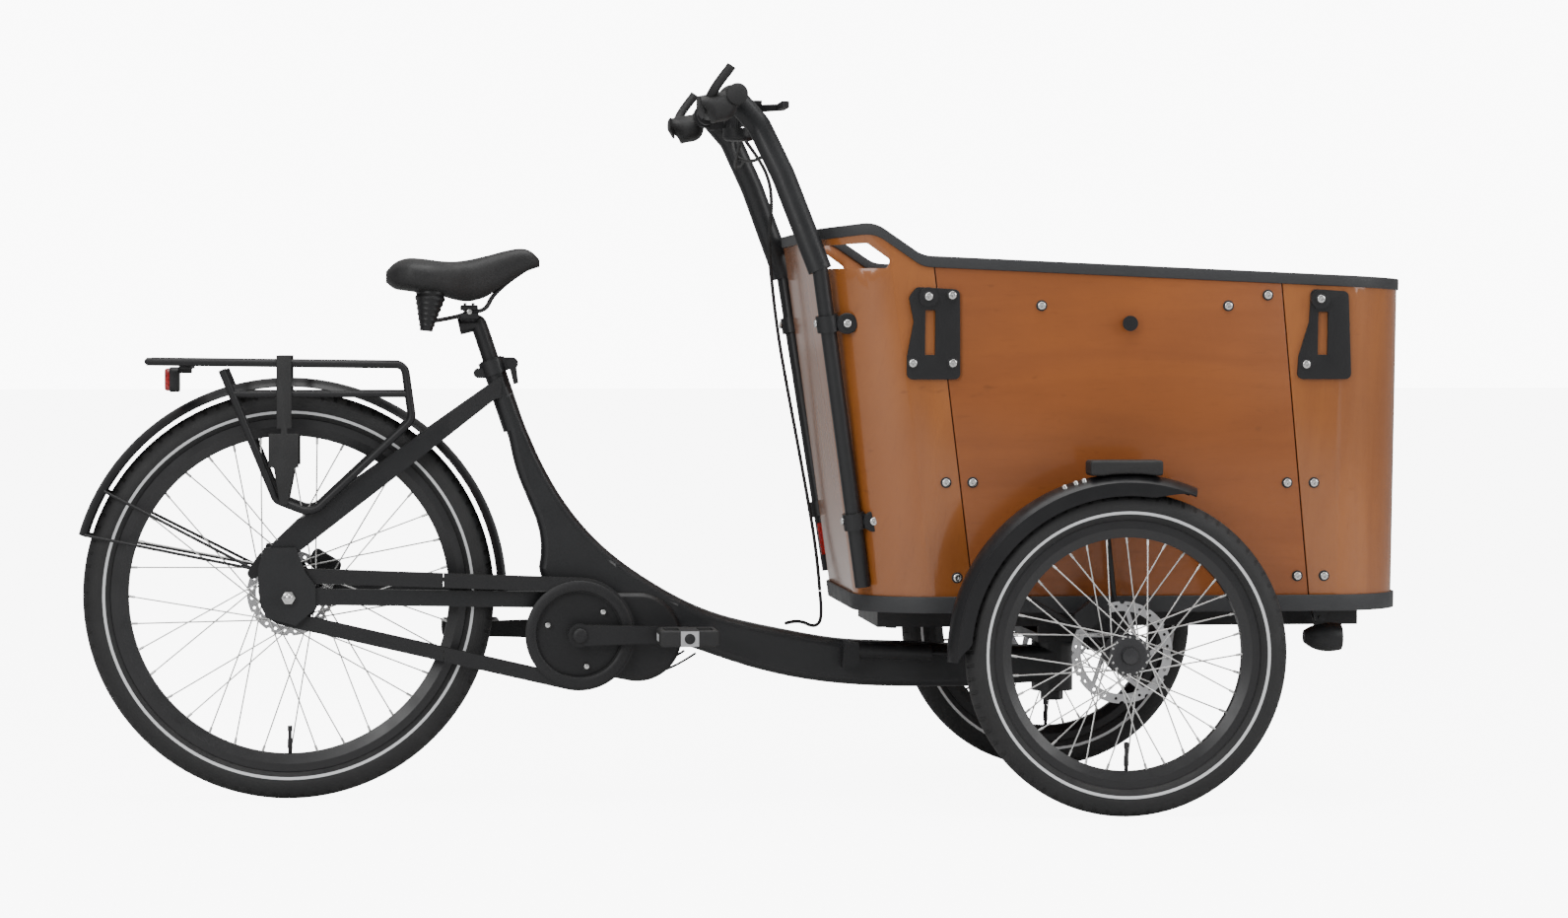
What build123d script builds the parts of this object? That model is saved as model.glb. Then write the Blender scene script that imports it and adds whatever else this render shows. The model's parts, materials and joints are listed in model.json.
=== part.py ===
"""A three-wheeled cargo bicycle.

The rear half carries the saddle, the motor and the single rear wheel. The front half is a carriage:
a wooden box on a steel chassis between two wheels, with the handlebar on its rear corners. The whole
carriage turns about a kingpin below the floor.

Frame: +X forward, +Y to the rider's left, +Z up, in millimetres. The origin is on the ground under the
middle of the bicycle's length.
"""

from math import atan2, cos, degrees, radians, sin, sqrt
import os

from build123d import *

# ---------------------------------------------------------------- driving dimensions
REAR_AXLE_X = -727.0
WHEELBASE = 1300.0
TRACK = 770.0

REAR_TYRE_RADIUS = 330.0
REAR_BEAD_RADIUS = 279.5
REAR_RIM_INNER_RADIUS = 257.0
FRONT_TYRE_RADIUS = 253.0
FRONT_BEAD_RADIUS = 203.0
FRONT_RIM_INNER_RADIUS = 182.0
TYRE_WIDTH = 50.0
TYRE_WALL = 3.5
RIM_WIDTH = 30.0
RIM_WALL = 2.5
RIM_FLANGE_HEIGHT = 5.5
SPOKES_PER_WHEEL = 36
SPOKE_RADIUS = 1.2
NIPPLE_RADIUS = 2.1

REAR_AXLE_RADIUS = 6.0
FRONT_STUB_RADIUS = 7.5
RUNNING = 0.05  # radial clearance of a shaft in its bore
APART = 0.4  # gap between bodies that pass each other

DISC_Y = 48.0
DISC_BORE = 20.0
REAR_DISC_RADIUS = 70.0
FRONT_DISC_RADIUS = 80.0
FRONT_DISC_INSET = 38.0

BB_X = -262.0
BB_Z = 267.0
CRANK_LENGTH = 170.0
SPINDLE_RADIUS = 10.0
CHAINLINE = 56.0
CHAINRING_TEETH = 40
SPROCKET_TEETH = 18
CHAIN_PITCH = 12.7
CHAIN_THICKNESS = 7.0
CHAIN_WIDTH = 8.0

KINGPIN_X = 520.0
KINGPIN_RADIUS = 12.0
HEAD_RADIUS = 34.0
HEAD_BOTTOM = 166.0
HEAD_TOP = 250.0

SEAT_ANGLE = 71.5
SEAT_TUBE_RADIUS = 18.0
SEAT_POST_RADIUS = 13.6
SEAT_CLAMP_X = -402.0
SEAT_CLAMP_Z = 711.0
SEAT_BORE_DEPTH = 230.0
SEAT_POST_DEPTH = 172.0
SEAT_POST_REACH = 88.0
CLAMP_PIN_RADIUS = 5.0

BOX_FRONT_X = 1043.0
BOX_REAR_BOTTOM_X = 172.0
BOX_REAR_TOP_X = 91.0
BOX_BOTTOM_Z = 318.0
BOX_TOP_Z = 940.0
BOX_HALF_WIDTH_BOTTOM = 285.0
BOX_HALF_WIDTH_TOP = 325.0
BOX_CORNER_RADIUS = 120.0
PLY = 9.0
SEAM = 2.0

# ---------------------------------------------------------------- values worked out from them
FRONT_AXLE_X = REAR_AXLE_X + WHEELBASE
HALF_TRACK = TRACK / 2
FLOOR_TOP_Z = BOX_BOTTOM_Z + 12
CHAINRING_RADIUS = CHAIN_PITCH * CHAINRING_TEETH / 6.2832 - CHAIN_THICKNESS / 2
SPROCKET_RADIUS = CHAIN_PITCH * SPROCKET_TEETH / 6.2832 - CHAIN_THICKNESS / 2
SEAT_UP = Vector(-cos(radians(SEAT_ANGLE)), 0, sin(radians(SEAT_ANGLE)))

os.makedirs("parts", exist_ok=True)


def save(part, name):
    """Labels a finished piece and writes its file."""
    part.label = name
    export_step(part, f"parts/{name}.step")


def save_set(bodies, name):
    """Writes several finished bodies as the solids of one piece."""
    solids = [solid for body in bodies for solid in body.solids()]
    save(Compound(children=solids), name)


def seat_point(distance):
    """A point on the seat tube's axis, so far above the clamp."""
    return Vector(SEAT_CLAMP_X, 0, SEAT_CLAMP_Z) + SEAT_UP * distance


def axle_plane(x, y, z, side=1):
    """A plane for profiles that turn about a wheel's axle: its first axis runs outwards along Y."""
    return Plane(origin=(x, y, z), x_dir=(0, side, 0), z_dir=(side, 0, 0))


def axle_axis(x, z):
    """The line of an axle across the bicycle."""
    return Axis((x, 0, z), (0, 1, 0))


def side_plane(y):
    """A plane seen from the right-hand side, so far to the left: sketches on it are X and Z."""
    return Plane(origin=(0, y, 0), x_dir=(1, 0, 0), z_dir=(0, -1, 0))


def polar(x, z, radius, angle):
    """A point of the side view, at that radius and angle about another."""
    return (x + radius * cos(radians(angle)), z + radius * sin(radians(angle)))


def round_tube(points, radii, radius):
    """A round bar along straight runs joined by arcs."""
    with BuildPart() as bar:
        with BuildLine() as path:
            FilletPolyline(*points, radius=radii)
        with BuildSketch(Plane(origin=path.line @ 0, z_dir=path.line % 0)):
            Circle(radius)
        sweep()
    return bar.part


def straight_bar(start, end, radius):
    """A round bar between two points."""
    reach = Vector(*end) - Vector(*start)
    with BuildPart() as bar:
        with BuildSketch(Plane(origin=start, z_dir=reach)):
            Circle(radius)
        extrude(amount=reach.length)
    return bar.part


def crossed(side_outline, plan_outline, rounding):
    """A solid that has one outline from the side and another from above, with its long edges rounded."""
    with BuildPart() as solid:
        with BuildSketch(Plane.XZ):
            Polygon(*side_outline, align=None)
        extrude(amount=500, both=True)
        with BuildSketch(Plane.XY):
            Polygon(*plan_outline, align=None)
        extrude(amount=1500, both=True, mode=Mode.INTERSECT)
        if rounding:
            fillet(solid.edges().filter_by(Axis.Y, reverse=True).filter_by(Axis.Z, reverse=True), rounding)
    return solid.part


def belt_outline(front_radius, rear_radius):
    """The tight outline round two circles on the crank's and the rear wheel's axes, as a sketch."""
    across = Vector(REAR_AXLE_X - BB_X, REAR_TYRE_RADIUS - BB_Z)
    line = degrees(atan2(across.Y, across.X))
    drop = front_radius - rear_radius
    lean = degrees(atan2(sqrt(across.length**2 - drop**2), drop))
    top_front = polar(BB_X, BB_Z, front_radius, line - lean)
    top_rear = polar(REAR_AXLE_X, REAR_TYRE_RADIUS, rear_radius, line - lean)
    low_front = polar(BB_X, BB_Z, front_radius, line + lean)
    low_rear = polar(REAR_AXLE_X, REAR_TYRE_RADIUS, rear_radius, line + lean)
    with BuildSketch() as outline:
        with BuildLine():
            Line(top_front, top_rear)
            ThreePointArc(top_rear, polar(REAR_AXLE_X, REAR_TYRE_RADIUS, rear_radius, line), low_rear)
            Line(low_rear, low_front)
            ThreePointArc(low_front, polar(BB_X, BB_Z, front_radius, line + 180), top_front)
        make_face()
    return outline.sketch


# ---------------------------------------------------------------- wheels
FLANGE_THICKNESS = 3.0


def make_tyre(x, y, outer_radius, bead_radius):
    """A tyre with an open casing and two beads that sit in the rim."""
    middle = outer_radius - TYRE_WIDTH / 2
    mouth = middle - 19
    with BuildPart() as tyre:
        with BuildSketch(axle_plane(x, y, outer_radius)):
            with Locations((0, middle)):
                Circle(TYRE_WIDTH / 2)
                Circle(TYRE_WIDTH / 2 - TYRE_WALL, mode=Mode.SUBTRACT)
            with Locations((0, mouth)):
                Rectangle(TYRE_WIDTH, TYRE_WIDTH, align=(Align.CENTER, Align.MAX), mode=Mode.SUBTRACT)
            for way in (-1, 1):
                with Locations((way * (RIM_WIDTH / 2 - RIM_WALL - 0.1), bead_radius)):
                    Rectangle(
                        3.2,
                        mouth - bead_radius + 1.5,
                        align=(Align.MAX if way > 0 else Align.MIN, Align.MIN),
                    )
        revolve(axis=axle_axis(x, outer_radius))
    return tyre.part


def make_rim(x, y, z, bead_radius, inner_radius):
    """A deep rim with a flange on each side and its valve."""
    half = RIM_WIDTH / 2
    top = bead_radius + RIM_FLANGE_HEIGHT
    with BuildPart() as rim:
        with BuildSketch(axle_plane(x, y, z)):
            Polygon(
                (-half, top),
                (-half, bead_radius - 7),
                (-half * 0.55, inner_radius),
                (half * 0.55, inner_radius),
                (half, bead_radius - 7),
                (half, top),
                (half - RIM_WALL, top),
                (half - RIM_WALL, bead_radius),
                (half * 0.4, bead_radius),
                (half * 0.3, bead_radius - 5),
                (-half * 0.3, bead_radius - 5),
                (-half * 0.4, bead_radius),
                (-half + RIM_WALL, bead_radius),
                (-half + RIM_WALL, top),
                align=None,
            )
        revolve(axis=axle_axis(x, z))
        with BuildSketch(Plane(origin=(x, y, z - inner_radius - 2), z_dir=(0, 0, 1))):
            Circle(3)
        extrude(amount=38)
        with BuildSketch(Plane(origin=(x, y, z - inner_radius + 36), z_dir=(0, 0, 1))):
            Circle(4)
        extrude(amount=9)
    return rim.part


def make_spokes(x, y, z, flange_radius, flange_offset, rim_radius):
    """Crossed spokes with their nipples, each its own solid. Leading spokes lie outside trailing ones."""
    step = 360 / SPOKES_PER_WHEEL
    spokes = []
    for number in range(SPOKES_PER_WHEEL):
        way = 1 if number % 2 else -1
        leading = (number // 2) % 2 == 0
        rim_angle = number * step
        hub_angle = rim_angle + (-60 if leading else 60)
        hub_y = y + way * (flange_offset + (2.2 if leading else -2.2))
        rim_y = y + way * (5.0 if leading else 1.8)
        hub_x, hub_z = polar(x, z, flange_radius - 3, hub_angle)
        rim_x, rim_z = polar(x, z, rim_radius + 4, rim_angle)
        start = Vector(hub_x, hub_y, hub_z)
        end = Vector(rim_x, rim_y, rim_z)
        along = (end - start).normalized()
        with BuildPart() as spoke:
            with BuildSketch(Plane(origin=start, z_dir=along)):
                Circle(SPOKE_RADIUS)
            extrude(amount=(end - start).length)
            with BuildSketch(Plane(origin=end - along * 14, z_dir=along)):
                Circle(NIPPLE_RADIUS)
            extrude(amount=14)
        spokes.append(spoke.part.solid())
    return Compound(children=spokes)


def make_disc(x, y, z, radius, bore):
    """A wavy brake disc with slots and five arms."""
    with BuildPart() as disc:
        with BuildSketch(side_plane(y + 1)) as face:
            with Locations((x, z)):
                Circle(radius)
                Circle(radius - 15, mode=Mode.SUBTRACT)
                with PolarLocations(radius, 12):
                    Circle(4, mode=Mode.SUBTRACT)
                with PolarLocations(radius - 7.5, 24, start_angle=7.5):
                    Circle(2.4, mode=Mode.SUBTRACT)
                Circle(bore + 9)
                Circle(bore, mode=Mode.SUBTRACT)
                with PolarLocations((radius - 15 + bore + 9) / 2, 5):
                    SlotOverall(radius - bore - 3, 7, rotation=35)
        extrude(amount=2)
    return disc.part


def make_front_hub(side):
    """A front hub: two flanges, a cap outside, and the brake disc bolted on inside."""
    y = side * HALF_TRACK
    with BuildPart() as hub:
        with BuildSketch(axle_plane(FRONT_AXLE_X, y, FRONT_TYRE_RADIUS, side)):
            Polygon(
                (-44, 0),
                (-44, 20),
                (-29, 20),
                (-29, 32),
                (-26, 32),
                (-24, 18),
                (24, 18),
                (26, 32),
                (29, 32),
                (31, 26),
                (31, 14),
                (38, 12.5),
                (40, 0),
                align=None,
            )
        revolve(axis=axle_axis(FRONT_AXLE_X, FRONT_TYRE_RADIUS))
        with BuildSketch(axle_plane(FRONT_AXLE_X, y, FRONT_TYRE_RADIUS, side)):
            with Locations((-50, 0)):
                Rectangle(84, FRONT_STUB_RADIUS + RUNNING, align=(Align.MIN, Align.MIN))
        revolve(axis=axle_axis(FRONT_AXLE_X, FRONT_TYRE_RADIUS), mode=Mode.SUBTRACT)
    disc_y = y - side * FRONT_DISC_INSET
    disc = make_disc(FRONT_AXLE_X, disc_y, FRONT_TYRE_RADIUS, FRONT_DISC_RADIUS, DISC_BORE)
    return Compound(children=[hub.part.solid(), disc.solid()])


for side, hand in ((-1, "right"), (1, "left")):
    wheel_y = side * HALF_TRACK
    save(make_tyre(FRONT_AXLE_X, wheel_y, FRONT_TYRE_RADIUS, FRONT_BEAD_RADIUS), f"front_tyre_{hand}")
    save(
        make_rim(FRONT_AXLE_X, wheel_y, FRONT_TYRE_RADIUS, FRONT_BEAD_RADIUS, FRONT_RIM_INNER_RADIUS),
        f"front_rim_{hand}",
    )
    save(
        make_spokes(FRONT_AXLE_X, wheel_y, FRONT_TYRE_RADIUS, 32, 27.5, FRONT_RIM_INNER_RADIUS),
        f"front_spokes_{hand}",
    )
    save(make_front_hub(side), f"front_hub_{hand}")

save(make_tyre(REAR_AXLE_X, 0, REAR_TYRE_RADIUS, REAR_BEAD_RADIUS), "rear_tyre")
save(make_rim(REAR_AXLE_X, 0, REAR_TYRE_RADIUS, REAR_BEAD_RADIUS, REAR_RIM_INNER_RADIUS), "rear_rim")
save(make_spokes(REAR_AXLE_X, 0, REAR_TYRE_RADIUS, 48, 29.5, REAR_RIM_INNER_RADIUS), "rear_spokes")

with BuildPart() as rear_hub:
    with BuildSketch(axle_plane(REAR_AXLE_X, 0, REAR_TYRE_RADIUS)):
        Polygon(
            (-44, REAR_AXLE_RADIUS + RUNNING),
            (-44, 20),
            (-38, 30),
            (-31, 34),
            (-31, 48),
            (-28, 48),
            (-26, 38),
            (26, 38),
            (28, 48),
            (31, 48),
            (31, 34),
            (40, 25),
            (DISC_Y - 1, 25),
            (DISC_Y - 1, DISC_BORE),
            (52, DISC_BORE),
            (52, REAR_AXLE_RADIUS + RUNNING),
            align=None,
        )
    revolve(axis=axle_axis(REAR_AXLE_X, REAR_TYRE_RADIUS))
rear_disc = make_disc(REAR_AXLE_X, DISC_Y, REAR_TYRE_RADIUS, REAR_DISC_RADIUS, DISC_BORE)
save_set([rear_hub.part, rear_disc], "rear_hub")

# ---------------------------------------------------------------- drive
with BuildPart() as rear_sprocket:
    with BuildSketch(axle_plane(REAR_AXLE_X, -CHAINLINE, REAR_TYRE_RADIUS)):
        Polygon(
            (-10, REAR_AXLE_RADIUS + RUNNING),
            (-10, 15),
            (-2, 15),
            (-2, SPROCKET_RADIUS - APART),
            (2, SPROCKET_RADIUS - APART),
            (2, 17),
            (10, 17),
            (10, REAR_AXLE_RADIUS + RUNNING),
            align=None,
        )
    revolve(axis=axle_axis(REAR_AXLE_X, REAR_TYRE_RADIUS))
save(rear_sprocket.part, "rear_sprocket")

with BuildPart() as chain:
    with BuildSketch(side_plane(-CHAINLINE + CHAIN_WIDTH / 2)):
        add(belt_outline(CHAINRING_RADIUS + CHAIN_THICKNESS, SPROCKET_RADIUS + CHAIN_THICKNESS))
        add(belt_outline(CHAINRING_RADIUS, SPROCKET_RADIUS), mode=Mode.SUBTRACT)
    extrude(amount=CHAIN_WIDTH)
save(chain.part, "chain")

COVER_HALF_WIDTH = 11.0
COVER_WALL = 2.5
COVER_DEPTH = 23.0
COVER_GAP = 4.0
COVER_SPLIT_X = -480.0
cover_front = CHAINRING_RADIUS + CHAIN_THICKNESS + COVER_GAP + COVER_WALL
cover_rear = SPROCKET_RADIUS + CHAIN_THICKNESS + COVER_GAP + COVER_WALL
with BuildPart() as chain_cover:
    with BuildSketch(side_plane(-CHAINLINE + COVER_HALF_WIDTH)):
        add(belt_outline(cover_front, cover_rear))
        add(belt_outline(cover_front - COVER_DEPTH, cover_rear - COVER_DEPTH), mode=Mode.SUBTRACT)
    extrude(amount=2 * COVER_HALF_WIDTH)
    with BuildSketch(side_plane(-CHAINLINE + COVER_HALF_WIDTH - COVER_WALL)):
        add(belt_outline(cover_front - COVER_WALL, cover_rear - COVER_WALL))
    extrude(amount=2 * (COVER_HALF_WIDTH - COVER_WALL), mode=Mode.SUBTRACT)
    with BuildSketch(Plane.YZ.offset(COVER_SPLIT_X - 0.5)):
        Rectangle(1000, 2000)
    extrude(amount=1, mode=Mode.SUBTRACT)
save(chain_cover.part, "chain_cover")

with BuildPart() as chainring:
    with BuildSketch(side_plane(-CHAINLINE + 1.5)):
        with Locations((BB_X, BB_Z)):
            Circle(CHAINRING_RADIUS - APART)
            with PolarLocations(57, 5, start_angle=18):
                SlotArc(
                    CenterArc((0, 0), 57, -19, 38, mode=Mode.PRIVATE).moved(Location((-57, 0, 0))),
                    height=12,
                    mode=Mode.SUBTRACT,
                )
            Circle(SPINDLE_RADIUS + 4, mode=Mode.SUBTRACT)
    extrude(amount=3)
CRANK_INNER_Y = 78.0
CRANK_THICKNESS = 13.0
PEDAL_AXLE_RADIUS = 4.5
PEDAL_LENGTH = 96.0
PEDAL_WIDTH = 92.0
PEDAL_THICKNESS = 26.0
with BuildPart() as crankset:
    with BuildSketch(side_plane(CRANK_INNER_Y)):
        with Locations((BB_X, BB_Z)):
            Circle(SPINDLE_RADIUS)
    extrude(amount=2 * CRANK_INNER_Y)
    for side in (-1, 1):
        reach = -side * CRANK_LENGTH
        with BuildSketch(side_plane(side * CRANK_INNER_Y)):
            with BuildLine():
                Polyline(
                    (BB_X, BB_Z + 17),
                    (BB_X + reach, BB_Z + 12),
                    (BB_X + reach, BB_Z - 12),
                    (BB_X, BB_Z - 17),
                    close=True,
                )
            make_face()
            with Locations((BB_X, BB_Z)):
                Circle(19)
            with Locations((BB_X + reach, BB_Z)):
                Circle(13)
        extrude(amount=-side * CRANK_THICKNESS)
        with BuildSketch(side_plane(side * (CRANK_INNER_Y + CRANK_THICKNESS))):
            with Locations((BB_X + reach, BB_Z)):
                Circle(PEDAL_AXLE_RADIUS)
        extrude(amount=-side * PEDAL_WIDTH)
    with BuildSketch(side_plane(-CHAINLINE + 1.5)):
        with Locations((BB_X, BB_Z)):
            Circle(SPINDLE_RADIUS + 4)
    extrude(amount=20)
save_set([crankset.part, chainring.part], "crankset")


def make_pedal(side):
    """A pedal with a rubber tread on each face, turning on its axle."""
    x = BB_X - side * CRANK_LENGTH
    y = side * (CRANK_INNER_Y + CRANK_THICKNESS + 4)
    with BuildPart() as pedal:
        with BuildSketch(side_plane(y)):
            with Locations((x, BB_Z)):
                RectangleRounded(PEDAL_LENGTH, PEDAL_THICKNESS, 6)
        extrude(amount=-side * (PEDAL_WIDTH - 2))
        chamfer(pedal.faces().sort_by(Axis.Y)[0].edges() + pedal.faces().sort_by(Axis.Y)[-1].edges(), 2)
        with BuildSketch(side_plane(y + side * 14)):
            with Locations((x - 27, BB_Z), (x + 27, BB_Z)):
                Rectangle(24, PEDAL_THICKNESS + 2)
        extrude(amount=-side * (PEDAL_WIDTH - 30), mode=Mode.SUBTRACT)
        with BuildSketch(side_plane(y - side)):
            with Locations((x, BB_Z)):
                Circle(PEDAL_AXLE_RADIUS + RUNNING)
        extrude(amount=-side * (PEDAL_WIDTH - 3), mode=Mode.SUBTRACT)
    return pedal.part


save(make_pedal(-1), "pedal_right")
save(make_pedal(1), "pedal_left")

# ---------------------------------------------------------------- rear frame
BEAM_HALF_WIDTH = 34.0
BEAM_ROUNDING = 12.0
MOTOR_HALF_WIDTH = 42.0
with BuildPart() as motor:
    with BuildSketch(side_plane(MOTOR_HALF_WIDTH)) as motor_outline:
        with Locations((BB_X, BB_Z)):
            Circle(60)
        with Locations((BB_X + 96, BB_Z - 7)):
            Circle(72)
        with Locations((BB_X - 22, BB_Z + 48)):
            Circle(18)
        make_hull()
    extrude(amount=2 * MOTOR_HALF_WIDTH)
    chamfer(motor.faces().sort_by(Axis.Y)[0].edges() + motor.faces().sort_by(Axis.Y)[-1].edges(), 6)
motor_body = motor.part
with BuildPart() as drive_unit:
    add(motor_body)
    with BuildSketch(side_plane(MOTOR_HALF_WIDTH + 1)):
        with Locations((BB_X, BB_Z)):
            Circle(SPINDLE_RADIUS + RUNNING)
    extrude(amount=2 * MOTOR_HALF_WIDTH + 2, mode=Mode.SUBTRACT)
save(drive_unit.part, "motor")

beam_side = [
    (-402, 668), (-366, 656), (-334, 573), (-287, 485), (-223, 409), (-142, 348), (-46, 299), (68, 270),
    (173, 252), (255, 248), (377, 242), (KINGPIN_X, 240), (KINGPIN_X, 182), (377, 175), (304, 175),
    (165, 181),
    (19, 209), (-78, 242), (-160, 270), (-262, 310), (-318, 352), (-324, 373), (-327, 445), (-359, 525),
    (-382, 621),
]
beam_plan = [
    (-420, -17), (-340, -19), (-200, -30), (-100, -BEAM_HALF_WIDTH), (KINGPIN_X, -BEAM_HALF_WIDTH),
    (KINGPIN_X, BEAM_HALF_WIDTH), (-100, BEAM_HALF_WIDTH), (-200, 30), (-340, 19), (-420, 17),
]
seat_bore_end = seat_point(-SEAT_BORE_DEPTH)
clamp_at = seat_point(-14)
clamp_pin = (clamp_at.X + 30, clamp_at.Z + 6)
with BuildPart() as main_frame:
    with BuildSketch(Plane.XZ):
        with BuildLine():
            Spline(*beam_side[1:12])
            Polyline(*beam_side[11:14])
            Spline(*beam_side[13:22])
            Spline(*beam_side[21:], beam_side[0])
            Line(beam_side[0], beam_side[1])
        make_face()
    extrude(amount=500, both=True)
    with BuildSketch(Plane.XY):
        Polygon(*beam_plan, align=None)
    extrude(amount=1500, both=True, mode=Mode.INTERSECT)
    long_edges = [
        edge
        for edge in main_frame.edges()
        if abs(edge.center().Y) > 10
        and -400 < edge.center().X < KINGPIN_X - 5
        and max(edge.bounding_box().size.X, edge.bounding_box().size.Z) > 25
    ]
    fillet(long_edges, BEAM_ROUNDING)
    with BuildSketch(Plane.XY.offset(HEAD_BOTTOM)):
        with Locations((KINGPIN_X, 0)):
            Circle(HEAD_RADIUS)
    extrude(amount=HEAD_TOP - HEAD_BOTTOM)
    with BuildSketch(Plane(origin=seat_point(-120), x_dir=(0, 1, 0), z_dir=SEAT_UP)):
        Circle(SEAT_TUBE_RADIUS)
    extrude(amount=120)
    with BuildSketch(Plane(origin=seat_point(-26), x_dir=(0, 1, 0), z_dir=SEAT_UP)):
        Circle(SEAT_TUBE_RADIUS + 4)
    extrude(amount=24)
    with BuildSketch(side_plane(13)):
        with Locations(clamp_pin):
            Circle(10)
        Polygon(
            (clamp_at.X, clamp_pin[1] - 10), (clamp_pin[0], clamp_pin[1] - 10),
            (clamp_pin[0], clamp_pin[1] + 10), (clamp_at.X, clamp_pin[1] + 10), align=None,
        )
        with Locations((clamp_at.X - 24, clamp_at.Z - 10)):
            Circle(8)
        Polygon(
            (clamp_at.X, clamp_at.Z - 18), (clamp_at.X - 24, clamp_at.Z - 18),
            (clamp_at.X - 24, clamp_at.Z - 2), (clamp_at.X, clamp_at.Z - 2), align=None,
        )
    extrude(amount=26)
    with BuildSketch(side_plane(14)):
        with Locations(clamp_pin):
            Circle(CLAMP_PIN_RADIUS + RUNNING)
    extrude(amount=28, mode=Mode.SUBTRACT)
    add(motor_body, mode=Mode.SUBTRACT)
    with BuildSketch(Plane(origin=seat_bore_end, x_dir=(0, 1, 0), z_dir=SEAT_UP)):
        Circle(SEAT_POST_RADIUS + RUNNING)
    extrude(amount=SEAT_BORE_DEPTH + 40, mode=Mode.SUBTRACT)
    with BuildSketch(Plane.XY.offset(HEAD_BOTTOM - 1)):
        with Locations((KINGPIN_X, 0)):
            Circle(KINGPIN_RADIUS + RUNNING)
    extrude(amount=HEAD_TOP - HEAD_BOTTOM + 2, mode=Mode.SUBTRACT)
save(main_frame.part, "main_frame")

DROPOUT_Y = 72.0
DROPOUT_THICKNESS = 7.0
seat_stay_side = [(-380, 688), (-400, 673), (-716, 449), (-765, 402), (-716, 398), (-395, 646), (-380, 650)]
seat_stay_plan = [(-385, 4), (-470, 37), (-765, 60), (-765, DROPOUT_Y), (-470, 50), (-385, 20)]
chain_stay_side = [(-700, 345), (-669, 343), (-280, 334), (-280, 308), (-669, 317), (-700, 315)]
chain_stay_plan = [
    (-700, 60), (-420, 35), (-350, 32.5), (-280, 22), (-280, 36), (-350, 44), (-420, 47), (-700, DROPOUT_Y),
]
with BuildPart() as seat_stays:
    stay = crossed(seat_stay_side, seat_stay_plan, 0)
    add(stay)
    add(stay.mirror(Plane.XZ))
    with BuildSketch(Plane(origin=seat_point(-140), x_dir=(0, 1, 0), z_dir=SEAT_UP)):
        Circle(SEAT_TUBE_RADIUS)
    extrude(amount=200, mode=Mode.SUBTRACT)
    add(main_frame.part, mode=Mode.SUBTRACT)
save(seat_stays.part, "seat_stays")

with BuildPart() as chain_stays:
    stay = crossed(chain_stay_side, chain_stay_plan, 0)
    add(stay)
    add(stay.mirror(Plane.XZ))
    add(motor_body, mode=Mode.SUBTRACT)
    add(main_frame.part, mode=Mode.SUBTRACT)
with BuildPart() as dropouts:
    for side in (-1, 1):
        with BuildSketch(side_plane(side * DROPOUT_Y)):
            Polygon(
                (-766, 410), (-775, 378), (-775, 339), (-763, 298), (-716, 285), (-684, 312), (-684, 349),
                (-700, 370), (-715, 410),
                align=None,
            )
            with Locations((REAR_AXLE_X, REAR_TYRE_RADIUS)):
                Circle(REAR_AXLE_RADIUS, mode=Mode.SUBTRACT)
        extrude(amount=-side * DROPOUT_THICKNESS)
save_set([chain_stays.part, dropouts.part], "chain_stays")

with BuildPart() as rear_axle:
    with BuildSketch(side_plane(DROPOUT_Y + 20)):
        with Locations((REAR_AXLE_X, REAR_TYRE_RADIUS)):
            Circle(REAR_AXLE_RADIUS)
    extrude(amount=2 * DROPOUT_Y + 40)
    for side in (-1, 1):
        with BuildSketch(side_plane(side * (DROPOUT_Y + DROPOUT_THICKNESS))):
            with Locations((REAR_AXLE_X, REAR_TYRE_RADIUS)):
                RegularPolygon(11, 6)
        extrude(amount=-side * 10)
save(rear_axle.part, "rear_axle")

CALIPER_X = REAR_AXLE_X + 52
CALIPER_Z = REAR_TYRE_RADIUS + 42
with BuildPart() as rear_caliper:
    with BuildSketch(side_plane(DROPOUT_Y - 2)):
        with Locations((CALIPER_X + 4, CALIPER_Z + 6)):
            RectangleRounded(52, 30, 8, rotation=-32)
    extrude(amount=34)
    with BuildSketch(side_plane(DISC_Y + 2)):
        with Locations((REAR_AXLE_X, REAR_TYRE_RADIUS)):
            Circle(REAR_DISC_RADIUS + 3)
    extrude(amount=4, mode=Mode.SUBTRACT)
    with BuildSketch(side_plane(DROPOUT_Y - 2)):
        with Locations((REAR_AXLE_X, REAR_TYRE_RADIUS)):
            Circle(46)
    extrude(amount=40, mode=Mode.SUBTRACT)
    add(chain_stays.part, mode=Mode.SUBTRACT)
    add(seat_stays.part, mode=Mode.SUBTRACT)
save(rear_caliper.part, "rear_caliper")


# ---------------------------------------------------------------- mudguards
def make_mudguard(x, y, z, outer_radius, half_width, start_angle, sweep_angle):
    """A crowned mudguard round part of a wheel, swept forward over the top from its rear end."""
    with BuildPart() as guard:
        with BuildSketch(axle_plane(x, y, z)):
            with BuildLine():
                ThreePointArc(
                    (-half_width, outer_radius - 14),
                    (0, outer_radius),
                    (half_width, outer_radius - 14),
                )
                Line((half_width, outer_radius - 14), (half_width - 2.5, outer_radius - 15))
                ThreePointArc(
                    (half_width - 2.5, outer_radius - 15),
                    (0, outer_radius - 2.6),
                    (2.5 - half_width, outer_radius - 15),
                )
                Line((2.5 - half_width, outer_radius - 15), (-half_width, outer_radius - 14))
            make_face()
        revolve(axis=axle_axis(x, z), revolution_arc=sweep_angle)
    return guard.part.rotate(axle_axis(x, z), start_angle)


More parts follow.
